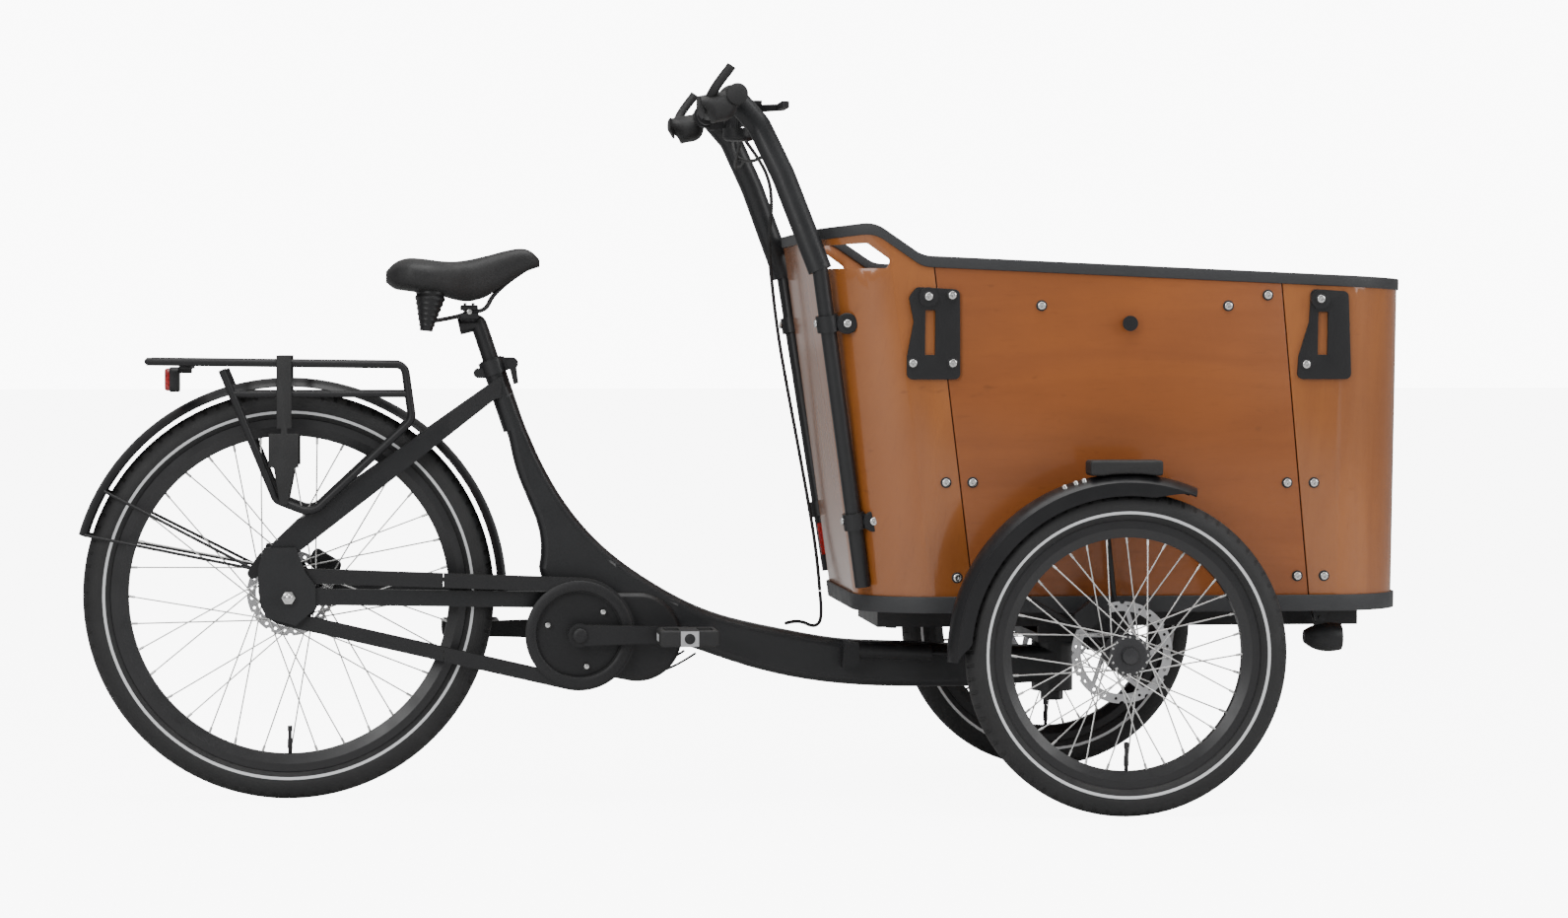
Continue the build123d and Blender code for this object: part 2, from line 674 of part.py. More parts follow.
REAR_GUARD_RADIUS = 351.0
GUARD_HALF_WIDTH = 31.0
rear_guard = make_mudguard(REAR_AXLE_X, 0, REAR_TYRE_RADIUS, REAR_GUARD_RADIUS, GUARD_HALF_WIDTH, -73.5, 163)
STAY_WIRE_RADIUS = 2.5
guard_foot = polar(REAR_AXLE_X, REAR_TYRE_RADIUS, REAR_GUARD_RADIUS - 12, 150)
guard_foot_2 = polar(REAR_AXLE_X, REAR_TYRE_RADIUS, REAR_GUARD_RADIUS - 12, 163)
wires = []
for side in (-1, 1):
    for foot in (guard_foot, guard_foot_2):
        start = Vector(foot[0], side * (GUARD_HALF_WIDTH + STAY_WIRE_RADIUS), foot[1])
        end = Vector(-784, side * (DROPOUT_Y - 2 - STAY_WIRE_RADIUS), 376)
        with BuildPart() as wire:
            with BuildSketch(Plane(origin=start, z_dir=end - start)):
                Circle(STAY_WIRE_RADIUS)
            extrude(amount=(end - start).length)
            with BuildSketch(side_plane(side * (DROPOUT_Y - 0.5))):
                with Locations((-777, 378)):
                    SlotOverall(40, 18, rotation=55)
            extrude(amount=side * 4)
            add(seat_stays.part, mode=Mode.SUBTRACT)
        wires.append(wire.part)
save_set([rear_guard, wires[0] + wires[1], wires[2] + wires[3]], "rear_mudguard")

# ---------------------------------------------------------------- rack
RACK_Y = 75.0
RACK_TUBE = 6.5
rack_bars = []
for side in (-1, 1):
    y = side * RACK_Y
    rack_bars.append(
        round_tube(
            [(-950, y, 707), (-541, y, 702), (-529, y, 614), (-690, y, 464), (-746, y, 486), (-831, y, 694)],
            [16, 22, 30, 16],
            RACK_TUBE,
        )
    )
    rack_bars.append(straight_bar((-814, y, 655), (-531, y, 655), RACK_TUBE - 1))
with BuildPart() as rack:
    for bar in rack_bars:
        add(bar)
    for side in (-1, 1):
        add(straight_bar((-692, side * (RACK_Y - 14), 466), (-692, side * RACK_Y, 466), 5))
    for x, z in ((-948, 707), (-800, 705), (-690, 704), (-560, 702.3)):
        with BuildSketch(side_plane(RACK_Y)):
            with Locations((x, z)):
                Circle(RACK_TUBE - 1)
        extrude(amount=2 * RACK_Y)
    add(seat_stays.part, mode=Mode.SUBTRACT)
save(rack.part, "rack")

STRAP_Y = RACK_Y + RACK_TUBE + 1
with BuildPart() as strap_set:
    for side in (-1, 1):
        with BuildSketch(side_plane(side * STRAP_Y)):
            Polygon((-745, 600), (-721, 600), (-721, 717), (-745, 717), align=None)
            Polygon((-758, 592), (-710, 592), (-710, 538), (-758, 538), align=None)
            Polygon((-750, 540), (-716, 540), (-728, 478), (-740, 478), align=None)
            Polygon((-738, 590), (-728, 590), (-728, 602), (-738, 602), align=None)
        extrude(amount=-side * 3)
    with BuildSketch(Plane.XY.offset(714)):
        with Locations((-733, 0)):
            Rectangle(24, 2 * STRAP_Y + 6)
    extrude(amount=3)
save(strap_set.part, "rack_strap")

with BuildPart() as tail_light:
    with BuildSketch(Plane.YZ.offset(-916)):
        with Locations((0, 678)):
            RectangleRounded(74, 40, 9)
    extrude(amount=14)
    with BuildSketch(Plane.YZ.offset(-902)):
        with Locations((0, 694)):
            Rectangle(30, 12)
    extrude(amount=20)
    with BuildSketch(side_plane(RACK_Y - RACK_TUBE)):
        Polygon((-898, 695), (-880, 695), (-880, 700), (-898, 700), align=None)
    extrude(amount=2 * (RACK_Y - RACK_TUBE))
save(tail_light.part, "tail_light")

with BuildPart() as tail_lens:
    with BuildSketch(Plane.YZ.offset(-924)):
        with Locations((0, 678)):
            RectangleRounded(70, 36, 8)
    extrude(amount=8)
    fillet(tail_lens.faces().sort_by(Axis.X)[0].edges(), 4)
save(tail_lens.part, "tail_light_lens")

# ---------------------------------------------------------------- saddle
with BuildPart() as clamp_lever:
    with BuildSketch(side_plane(13)):
        with Locations(clamp_pin):
            Circle(CLAMP_PIN_RADIUS)
    extrude(amount=36)
    with BuildSketch(side_plane(-20)):
        with Locations(clamp_pin):
            Circle(9)
        Polygon(
            (clamp_pin[0] - 6, clamp_pin[1]), (clamp_pin[0] + 6, clamp_pin[1]),
            (clamp_pin[0] + 10, clamp_pin[1] - 32), (clamp_pin[0] + 2, clamp_pin[1] - 34), align=None,
        )
    extrude(amount=6)
save(clamp_lever.part, "seat_clamp_lever")

with BuildPart() as seat_post:
    with BuildSketch(Plane(origin=seat_point(-SEAT_POST_DEPTH), x_dir=(0, 1, 0), z_dir=SEAT_UP)):
        Circle(SEAT_POST_RADIUS)
    extrude(amount=SEAT_POST_DEPTH + SEAT_POST_REACH)
    with BuildSketch(side_plane(19)):
        with Locations((-440, 800)):
            Circle(17)
    extrude(amount=38)
    fillet(seat_post.edges().filter_by(GeomType.CIRCLE).sort_by(Axis.Z)[-2:], 3)
save(seat_post.part, "seat_post")

saddle_side = [
    (-571, 842), (-568, 866), (-540, 870), (-509, 870), (-446, 860), (-400, 878), (-366, 887), (-340, 884),
    (-326, 873), (-329, 857), (-382, 831), (-422, 818), (-493, 818), (-560, 824),
]
saddle_plan = [
    (-572, -60), (-560, -90), (-520, -100), (-470, -84), (-420, -50), (-380, -30), (-335, -22), (-325, -12),
    (-325, 12), (-335, 22), (-380, 30), (-420, 50), (-470, 84), (-520, 100), (-560, 90), (-572, 60),
]
saddle_body = crossed(saddle_side, saddle_plan, 0)
with BuildPart() as saddle:
    add(saddle_body)
save(saddle.part, "saddle")

with BuildPart() as saddle_springs:
    for side in (-1, 1):
        with BuildSketch(Plane.XY.offset(760)):
            with Locations((-505, side * 62)):
                Circle(22)
        extrude(amount=57.5)
        for step in (771, 783, 795, 807):
            with BuildSketch(Plane.XY.offset(step)):
                with Locations((-505, side * 62)):
                    Circle(22.5)
                    Circle(19.5, mode=Mode.SUBTRACT)
            extrude(amount=4, mode=Mode.SUBTRACT)
saddle_rails = [
    round_tube(
        [(-505, side * 62, 757), (-470, side * 24, 783), (-400, side * 24, 793), (-345, side * 10, 852)],
        [14, 18],
        3.5,
    )
    for side in (-1, 1)
]
with BuildPart() as rails:
    for bar in saddle_rails:
        add(bar)
    with BuildSketch(side_plane(24)):
        with Locations((-440, 787)):
            Circle(3.4)
    extrude(amount=48)
    add(saddle_body, mode=Mode.SUBTRACT)
    add(seat_post.part, mode=Mode.SUBTRACT)
    add(saddle_springs.part, mode=Mode.SUBTRACT)
save_set([rails.part, saddle_springs.part], "saddle_frame")

# ---------------------------------------------------------------- damper and cable entry on the frame
with BuildPart() as steering_damper:
    with BuildSketch(side_plane(-BEAM_HALF_WIDTH)):
        with Locations((174, 222)):
            Circle(9)
    extrude(amount=14)
    with BuildSketch(side_plane(-BEAM_HALF_WIDTH - 14)):
        Polygon((164, 210), (192, 214), (192, 250), (168, 254), align=None)
    extrude(amount=24)
    with BuildSketch(Plane(origin=(191, -BEAM_HALF_WIDTH - 26, 238), z_dir=(1, 0, -0.05))):
        Circle(12.5)
    extrude(amount=120)
    with BuildSketch(Plane(origin=(305, -BEAM_HALF_WIDTH - 26, 233), z_dir=(1, 0, -0.05))):
        Circle(5)
    extrude(amount=40)
    with BuildSketch(side_plane(-BEAM_HALF_WIDTH)):
        with Locations((347, 231)):
            Circle(9)
    extrude(amount=34)
save(steering_damper.part, "steering_damper")

# ---------------------------------------------------------------- cargo box
REAR_LEAN = (BOX_REAR_TOP_X - BOX_REAR_BOTTOM_X) / (BOX_TOP_Z - BOX_BOTTOM_Z)
SIDE_LEAN = (BOX_HALF_WIDTH_TOP - BOX_HALF_WIDTH_BOTTOM) / (BOX_TOP_Z - BOX_BOTTOM_Z)
TRIM_WALL = 3.0
TRIM_HEIGHT = 18.0
BELT_WALL = 5.0


def box_block(grow, low, high):
    """The box's outline as a solid between two heights, grown outwards by so much."""
    with BuildPart() as block:
        for level in (low, high):
            rise = level - BOX_BOTTOM_Z
            rear = BOX_REAR_BOTTOM_X + REAR_LEAN * rise - grow
            front = BOX_FRONT_X + grow
            half = BOX_HALF_WIDTH_BOTTOM + SIDE_LEAN * rise + grow
            with BuildSketch(Plane.XY.offset(level)):
                with Locations(((rear + front) / 2, 0)):
                    RectangleRounded(front - rear, 2 * half, BOX_CORNER_RADIUS + grow)
        loft()
    return block.part


def under_rim(drop):
    """Everything below the box's top edge, lowered by so much."""
    with BuildPart() as region:
        with BuildSketch(Plane.XZ):
            with BuildLine():
                edge = FilletPolyline(
                    (20, 906 - drop), (186, 925 - drop), (262, 873 - drop), (1150, 834 - drop), radius=48
                )
                Polyline(edge @ 1, (1150, 200), (20, 200), edge @ 0)
            make_face()
        extrude(amount=500, both=True)
    return region.part


def wall_plane():
    """The outer face of the box's right side: X along it, Z up it."""
    return Plane(
        origin=(0, -BOX_HALF_WIDTH_BOTTOM, BOX_BOTTOM_Z), x_dir=(1, 0, 0), z_dir=(0, -1, -SIDE_LEAN)
    )


def on_wall(*points):
    """Points of the side view, on the wall's plane."""
    stretch = sqrt(1 + SIDE_LEAN**2)
    return [(x, (z - BOX_BOTTOM_Z) * stretch) for x, z in points]


outer_block = box_block(0, BOX_BOTTOM_Z, BOX_TOP_Z)
with BuildPart() as shell:
    add(outer_block)
    add(box_block(-PLY, BOX_BOTTOM_Z, BOX_TOP_Z), mode=Mode.SUBTRACT)
    add(under_rim(6), mode=Mode.INTERSECT)
shell_body = shell.part

SEAM_REAR_TOP = (272, 918)
SEAM_REAR_FOOT = (350, 318)
SEAM_FRONT_TOP = (823, 918)
SEAM_FRONT_FOOT = (886, 318)
with BuildPart() as panels:
    add(shell_body)
    with BuildSketch(Plane.XZ):
        for top, foot in ((SEAM_REAR_TOP, SEAM_REAR_FOOT), (SEAM_FRONT_TOP, SEAM_FRONT_FOOT)):
            slope = (top[0] - foot[0]) / (top[1] - foot[1])
            Polygon(
                (foot[0] - SEAM / 2 - slope * 50, foot[1] - 50),
                (foot[0] + SEAM / 2 - slope * 50, foot[1] - 50),
                (top[0] + SEAM / 2 + slope * 50, top[1] + 50),
                (top[0] - SEAM / 2 + slope * 50, top[1] + 50),
                align=None,
            )
    extrude(amount=500, both=True, mode=Mode.SUBTRACT)
    with BuildSketch(Plane.XZ):
        with BuildLine():
            FilletPolyline(
                (112, 853), (206, 853), (212, 866), (176, 892), (112, 889), radius=6, close=True
            )
        make_face()
    extrude(amount=500, both=True, mode=Mode.SUBTRACT)
pieces = panels.part.solids().sort_by(Axis.X)
rear_panel, right_panel, left_panel, front_panel = pieces[0], *pieces[1:3].sort_by(Axis.Y), pieces[3]
save(Part(rear_panel.wrapped), "box_rear_panel")
save(Part(right_panel.wrapped), "box_side_right")
save(Part(left_panel.wrapped), "box_side_left")
save(Part(front_panel.wrapped), "box_front_panel")

with BuildPart() as rim_trim:
    add(box_block(TRIM_WALL, BOX_BOTTOM_Z + 200, BOX_TOP_Z))
    add(box_block(-PLY - TRIM_WALL, BOX_BOTTOM_Z + 190, BOX_TOP_Z + 10), mode=Mode.SUBTRACT)
    add(under_rim(0), mode=Mode.INTERSECT)
    add(under_rim(TRIM_HEIGHT), mode=Mode.SUBTRACT)
    add(shell_body, mode=Mode.SUBTRACT)
save(rim_trim.part, "rim_trim")

with BuildPart() as belt:
    add(box_block(BELT_WALL, BOX_BOTTOM_Z - 6, BOX_BOTTOM_Z + 20))
    add(box_block(0, BOX_BOTTOM_Z, BOX_TOP_Z), mode=Mode.SUBTRACT)
    add(box_block(-28, BOX_BOTTOM_Z - 20, BOX_TOP_Z), mode=Mode.SUBTRACT)
save(belt.part, "bottom_belt")

with BuildPart() as floor:
    add(box_block(-PLY, BOX_BOTTOM_Z, BOX_BOTTOM_Z + 12))
save(floor.part, "box_floor")


# ---------------------------------------------------------------- fittings on the box
def bracket(outline, slot, cut):
    """A cover bracket on the right wall: a plate with a slot and a raised boss."""
    with BuildPart() as plate:
        with BuildSketch(wall_plane()):
            Polygon(*on_wall(*outline), align=None)
        extrude(amount=6)
        fillet(plate.edges().filter_by(Axis.Y, tolerance=5), 9)
        with BuildSketch(wall_plane()):
            Polygon(*on_wall(*slot), align=None)
        extrude(amount=7, mode=Mode.SUBTRACT)
        with BuildSketch(wall_plane().offset(6)):
            with Locations(on_wall(cut)):
                Circle(15)
        extrude(amount=7)
    return plate.part


rear_bracket = bracket(
    [(240, 808), (252, 824), (320, 820), (322, 680), (238, 680), (238, 716), (248, 770)],
    [(266, 788), (282, 788), (282, 718), (266, 718)],
    (270, 809),
)
front_bracket = bracket(
    [(878, 822), (938, 818), (945, 680), (858, 680), (860, 716), (876, 770)],
    [(890, 786), (906, 786), (906, 718), (890, 718)],
    (892, 806),
)
save_set(
    [rear_bracket, rear_bracket.mirror(Plane.XZ), front_bracket, front_bracket.mirror(Plane.XZ)],
    "cover_brackets",
)

plain_screws = [
    (302, 518), (344, 518), (846, 516), (889, 516), (865, 368), (908, 368), (321, 368), (450, 795), (747, 795),
    (810, 812),
]
bracket_screws = [(308, 811), (247, 705), (310, 705), (872, 703)]
boss_screws = [(270, 809), (892, 806)]
with BuildPart() as screws:
    for level, places in ((0, plain_screws), (6, bracket_screws), (13, boss_screws)):
        with BuildSketch(wall_plane().offset(level)):
            with Locations(on_wall(*places)):
                Circle(6.5)
        extrude(amount=2.5)
with BuildPart() as corner_screws:
    for z in (808, 745, 640, 420):
        for y in (-120, 120):
            with BuildSketch(Plane.YZ.offset(BOX_FRONT_X)):
                with Locations((y, z)):
                    Circle(6.5)
            extrude(amount=2.5)
save_set([screws.part, screws.part.mirror(Plane.XZ), corner_screws.part], "box_screws")

with BuildPart() as studs:
    with BuildSketch(wall_plane()):
        with Locations(on_wall((589, 768))):
            Circle(9)
    extrude(amount=10)
    with BuildSketch(wall_plane().offset(10)):
        with Locations(on_wall((589, 768))):
            Circle(12)
    extrude(amount=4)
with BuildPart() as front_stud:
    with BuildSketch(Plane.YZ.offset(BOX_FRONT_X)):
        with Locations((0, 806)):
            Circle(9)
    extrude(amount=12)
    with BuildSketch(Plane.YZ.offset(BOX_FRONT_X + 12)):
        with Locations((0, 806)):
            Circle(12)
    extrude(amount=5)
save_set([studs.part, studs.part.mirror(Plane.XZ), front_stud.part], "cover_studs")

# ---------------------------------------------------------------- front chassis
RAIL_Y = 120.0
RAIL_HALF_WIDTH = 14.0
RAIL_BOTTOM = 280.0
RAIL_REAR = 214.0
RAIL_FRONT = 1000.0
AXLE_BEAM_RADIUS = 15.0
AXLE_BEAM_HALF = HALF_TRACK - 44 - 2.0
with BuildPart() as chassis:
    with BuildSketch(Plane.XY.offset(RAIL_BOTTOM)):
        for side in (-1, 1):
            with Locations(((RAIL_REAR + RAIL_FRONT) / 2, side * RAIL_Y)):
                Rectangle(RAIL_FRONT - RAIL_REAR, 2 * RAIL_HALF_WIDTH)
        for x in (RAIL_REAR + 14, 309, 700, RAIL_FRONT - 14):
            with Locations((x, 0)):
                Rectangle(28, 2 * RAIL_Y)
    extrude(amount=BOX_BOTTOM_Z - RAIL_BOTTOM)
    with BuildSketch(Plane.XY.offset(HEAD_TOP + 4)):
        with Locations((KINGPIN_X, 0)):
            Rectangle(90, 2 * RAIL_Y + 2 * RAIL_HALF_WIDTH)
    extrude(amount=14)
    for side in (-1, 1):
        with BuildSketch(side_plane(side * (RAIL_Y + RAIL_HALF_WIDTH))):
            Polygon(
                (KINGPIN_X - 45, HEAD_TOP + 4),
                (KINGPIN_X - 45, BOX_BOTTOM_Z),
                (FRONT_AXLE_X + 60, BOX_BOTTOM_Z),
                (FRONT_AXLE_X + 60, RAIL_BOTTOM),
                (FRONT_AXLE_X + 18, FRONT_TYRE_RADIUS - 12),
                (FRONT_AXLE_X - 18, FRONT_TYRE_RADIUS - 12),
                (FRONT_AXLE_X - 18, HEAD_TOP + 4),
                align=None,
            )
        extrude(amount=side * 6)
    with BuildSketch(Plane.XY.offset(HEAD_BOTTOM - 2)):
        with Locations((KINGPIN_X, 0)):
            Circle(KINGPIN_RADIUS)
    extrude(amount=HEAD_TOP + 10 - HEAD_BOTTOM)
    with BuildSketch(Plane.XY.offset(HEAD_BOTTOM - 16)):
        with Locations((KINGPIN_X, 0)):
            RegularPolygon(19, 6)
    extrude(amount=14)
    with BuildSketch(side_plane(AXLE_BEAM_HALF)):
        with Locations((FRONT_AXLE_X, FRONT_TYRE_RADIUS)):
            Circle(AXLE_BEAM_RADIUS)
    extrude(amount=2 * AXLE_BEAM_HALF)
    with BuildSketch(side_plane(HALF_TRACK + 33)):
        with Locations((FRONT_AXLE_X, FRONT_TYRE_RADIUS)):
            Circle(FRONT_STUB_RADIUS)
    extrude(amount=2 * (HALF_TRACK + 33))
CALIPER_ANGLE = 128.0
calipers = []
for side in (-1, 1):
    disc_y = side * (HALF_TRACK - FRONT_DISC_INSET)
    plate_y = side * AXLE_BEAM_HALF
    where = polar(FRONT_AXLE_X, FRONT_TYRE_RADIUS, FRONT_DISC_RADIUS - 2, CALIPER_ANGLE)
    with BuildPart() as caliper:
        with BuildSketch(side_plane(disc_y - side * 14)):
            with Locations(where):
                RectangleRounded(56, 34, 9, rotation=CALIPER_ANGLE - 90)
        extrude(amount=-side * 24)
        with BuildSketch(side_plane(disc_y - side * 2)):
            with Locations((FRONT_AXLE_X, FRONT_TYRE_RADIUS)):
                Circle(FRONT_DISC_RADIUS + 3)
        extrude(amount=-side * 4, mode=Mode.SUBTRACT)
        with BuildSketch(side_plane(plate_y)):
            with Locations((FRONT_AXLE_X, FRONT_TYRE_RADIUS)):
                Circle(28)
            Polygon(
                polar(FRONT_AXLE_X, FRONT_TYRE_RADIUS, 20, CALIPER_ANGLE - 50),
                polar(FRONT_AXLE_X, FRONT_TYRE_RADIUS, FRONT_DISC_RADIUS + 12, CALIPER_ANGLE - 12),
                polar(FRONT_AXLE_X, FRONT_TYRE_RADIUS, FRONT_DISC_RADIUS + 12, CALIPER_ANGLE + 12),
                polar(FRONT_AXLE_X, FRONT_TYRE_RADIUS, 20, CALIPER_ANGLE + 50),
                align=None,
            )
            with Locations((FRONT_AXLE_X, FRONT_TYRE_RADIUS)):
                Circle(AXLE_BEAM_RADIUS, mode=Mode.SUBTRACT)
        extrude(amount=side * 6)
    calipers.append(caliper.part)
save_set(calipers, "front_calipers")

FRONT_GUARD_RADIUS = 281.0
steps = []
for side, hand in ((-1, "right"), (1, "left")):
    guard = make_mudguard(
        FRONT_AXLE_X, side * HALF_TRACK, FRONT_TYRE_RADIUS, FRONT_GUARD_RADIUS, GUARD_HALF_WIDTH, -92, 115
    )
    inner_y = side * (HALF_TRACK - GUARD_HALF_WIDTH + 1)
    plate_y = side * (AXLE_BEAM_HALF - 12)
    with BuildPart() as guard_stay:
        for angle in (96, 150):
            low = polar(FRONT_AXLE_X, FRONT_TYRE_RADIUS, AXLE_BEAM_RADIUS - 2, angle)
            knee = polar(FRONT_AXLE_X, FRONT_TYRE_RADIUS, 245, angle)
            foot = polar(FRONT_AXLE_X, FRONT_TYRE_RADIUS, FRONT_GUARD_RADIUS - 15, angle)
            add(straight_bar((low[0], plate_y, low[1]), (knee[0], plate_y, knee[1]), 4))
            add(straight_bar((knee[0], plate_y, knee[1]), (foot[0], inner_y, foot[1]), 4))
        add(chassis.part, mode=Mode.SUBTRACT)
        add(guard, mode=Mode.SUBTRACT)
    save_set([guard, guard_stay.part], f"front_mudguard_{hand}")
    with BuildPart() as step:
        with BuildSketch(side_plane(side * (HALF_TRACK + 26))):
            with Locations((FRONT_AXLE_X - 4, FRONT_TYRE_RADIUS + FRONT_GUARD_RADIUS + 9)):
                RectangleRounded(114, 24, 5)
        extrude(amount=side * 52)
        with BuildSketch(side_plane(side * (HALF_TRACK + 27))):
            with Locations((FRONT_AXLE_X, FRONT_TYRE_RADIUS)):
                Circle(FRONT_GUARD_RADIUS + 0.02)
        extrude(amount=side * 54, mode=Mode.SUBTRACT)
    steps.append(step.part)
save_set(steps, "step_pads")

# ---------------------------------------------------------------- handlebar
POST_RADIUS = 12.5
post_low = Vector(178, -238, 352)
post_high = Vector(103, -287, 862)
post_up = (post_high - post_low).normalized()


def post_point(height):
    """The right post's axis at a height."""
    return post_low + post_up * ((height - post_low.Z) / post_up.Z)


with BuildPart() as handlebar_posts:
    add(straight_bar(tuple(post_low), tuple(post_high), POST_RADIUS))
    add(straight_bar(tuple(post_low), tuple(post_high), POST_RADIUS).mirror(Plane.XZ))
    add(box_block(1.0, BOX_BOTTOM_Z - 6, BOX_TOP_Z), mode=Mode.SUBTRACT)
with BuildPart() as post_clamps:
    for z in (767, 456):
        at = post_point(z)
        with BuildSketch(Plane(origin=at - post_up * 13, z_dir=post_up)):
            Circle(POST_RADIUS + 5)
        extrude(amount=26)
        with BuildSketch(side_plane(at.Y - 9)):
            Polygon(
                (at.X, at.Z + 11), (at.X + 48, at.Z + 13), (at.X + 48, at.Z - 13), (at.X, at.Z - 11),
                align=None,
            )
        extrude(amount=-20)
    for z in (767, 456):
        post_core = straight_bar(tuple(post_point(z - 40)), tuple(post_point(z + 40)), POST_RADIUS)
        add(post_core, mode=Mode.SUBTRACT)
    add(box_block(0, BOX_BOTTOM_Z, BOX_TOP_Z), mode=Mode.SUBTRACT)
save_set([handlebar_posts.part, post_clamps.part, post_clamps.part.mirror(Plane.XZ)], "handlebar_posts")

ARM_LONG = 19.0
ARM_SHORT = 12.0
BAR_X = -32.0
BAR_Z = 1120.0
BAR_RADIUS = 11.1
BAR_HALF = 362.0
ARM_Y = 250.0
PERCH_Y = 204.0
with BuildPart() as arm:
    with BuildLine() as arm_path:
        FilletPolyline(
            post_point(850), (48, -267, 1000), (11, -255, 1078), (BAR_X + 6, -ARM_Y, BAR_Z), radius=[90, 40]
        )
    with BuildSketch(Plane(origin=arm_path.line @ 0, x_dir=(0, 1, 0), z_dir=arm_path.line % 0)):
        Ellipse(ARM_SHORT + 2, ARM_LONG)
    sweep()
    with BuildSketch(side_plane(-ARM_Y + ARM_SHORT + 3)):
        with Locations((BAR_X, BAR_Z)):
            Circle(20)
    extrude(amount=2 * ARM_SHORT + 6)
    add(box_block(0.2, BOX_BOTTOM_Z, BOX_TOP_Z + 20), mode=Mode.SUBTRACT)
    add(handlebar_posts.part, mode=Mode.SUBTRACT)
    add(rim_trim.part, mode=Mode.SUBTRACT)
    with BuildSketch(side_plane(-ARM_Y + 40)):
        with Locations((BAR_X, BAR_Z)):
            Circle(BAR_RADIUS)
    extrude(amount=80, mode=Mode.SUBTRACT)
save_set([arm.part, arm.part.mirror(Plane.XZ)], "handlebar_arms")

with BuildPart() as handlebar:
    with BuildSketch(side_plane(BAR_HALF)):
        with Locations((BAR_X, BAR_Z)):
            Circle(BAR_RADIUS)
    extrude(amount=2 * BAR_HALF)

grips = []
for side in (-1, 1):
    with BuildPart() as grip:
        with BuildSketch(side_plane(side * 274)):
            with Locations((BAR_X, BAR_Z)):
                Circle(16)
        extrude(amount=-side * 92)
        with BuildSketch(side_plane(side * 290)):
            with BuildLine():
                FilletPolyline(
                    (BAR_X + 10, BAR_Z + 12), (BAR_X - 20, BAR_Z + 12),
                    (BAR_X - 51, BAR_Z), (BAR_X - 51, BAR_Z - 16),
                    (BAR_X - 24, BAR_Z - 40), (BAR_X + 6, BAR_Z - 16), radius=5, close=True,
                )
            make_face()
        extrude(amount=-side * 78)
        with BuildSketch(side_plane(side * 352)):
            with BuildLine():
                FilletPolyline(
                    (BAR_X + 12, BAR_Z + 4), (BAR_X - 4, BAR_Z + 50),
                    (BAR_X - 20, BAR_Z + 44), (BAR_X - 46, BAR_Z + 2),
                    (BAR_X - 16, BAR_Z - 16), radius=6, close=True,
                )
            make_face()
        extrude(amount=-side * 18)
        with BuildSketch(side_plane(side * 200)):
            with Locations((BAR_X, BAR_Z)):
                Circle(BAR_RADIUS)
        extrude(amount=-side * (BAR_HALF - 200), mode=Mode.SUBTRACT)
    grips.append(grip.part)
save_set(grips, "grips")

LEVER_PIVOT_X = 8.0
LEVER_PIVOT_Y = 216.0
LEVER_PIVOT_RADIUS = 3.0
LEVER_Z = 1106.0
perches = []
for side, hand in ((-1, "right"), (1, "left")):
    with BuildPart() as perch:
        with BuildSketch(side_plane(side * 204)):
            with Locations((BAR_X, BAR_Z)):
                Circle(17)
        extrude(amount=-side * 26)
        with BuildSketch(Plane.XY.offset(LEVER_Z - 12)):
            with Locations(((BAR_X + LEVER_PIVOT_X) / 2 + 8, side * LEVER_PIVOT_Y)):
                Rectangle(LEVER_PIVOT_X - BAR_X + 6, 24)
            with Locations((LEVER_PIVOT_X, side * 190)):
                RectangleRounded(22, 66, 8)
        extrude(amount=24)
        with BuildSketch(Plane.XY.offset(LEVER_Z - 5.4)):
            with Locations((LEVER_PIVOT_X, side * LEVER_PIVOT_Y)):
                Circle(18)
            with Locations((LEVER_PIVOT_X + 20, side * (LEVER_PIVOT_Y + 20))):
                Rectangle(40, 50)
        extrude(amount=10.8, mode=Mode.SUBTRACT)
        with BuildSketch(Plane.XY.offset(LEVER_Z - 6)):
            with Locations((LEVER_PIVOT_X, side * LEVER_PIVOT_Y)):
                Circle(LEVER_PIVOT_RADIUS)
        extrude(amount=12)
        with BuildSketch(side_plane(side * 200)):
            with Locations((BAR_X, BAR_Z)):
                Circle(BAR_RADIUS)
        extrude(amount=-side * 40, mode=Mode.SUBTRACT)
    perches.append(perch.part)
    with BuildPart() as lever:
        with BuildSketch(Plane.XY.offset(LEVER_Z - 5)):
            with BuildLine():
                FilletPolyline(
                    (LEVER_PIVOT_X - 8, side * (LEVER_PIVOT_Y - 8)),
                    (LEVER_PIVOT_X + 18, side * (LEVER_PIVOT_Y - 8)),
                    (LEVER_PIVOT_X + 44, side * (LEVER_PIVOT_Y + 26)),
                    (LEVER_PIVOT_X + 44, side * (LEVER_PIVOT_Y + 116)),
                    (LEVER_PIVOT_X + 32, side * (LEVER_PIVOT_Y + 116)),
                    (LEVER_PIVOT_X + 32, side * (LEVER_PIVOT_Y + 34)),
                    (LEVER_PIVOT_X - 8, side * (LEVER_PIVOT_Y + 8)),
                    radius=4,
                    close=True,
                )
            make_face()
            with Locations((LEVER_PIVOT_X, side * LEVER_PIVOT_Y)):
                Circle(LEVER_PIVOT_RADIUS + RUNNING, mode=Mode.SUBTRACT)
        extrude(amount=10)
    save(lever.part, f"brake_lever_{hand}")
save_set([handlebar.part, *perches], "handlebar")

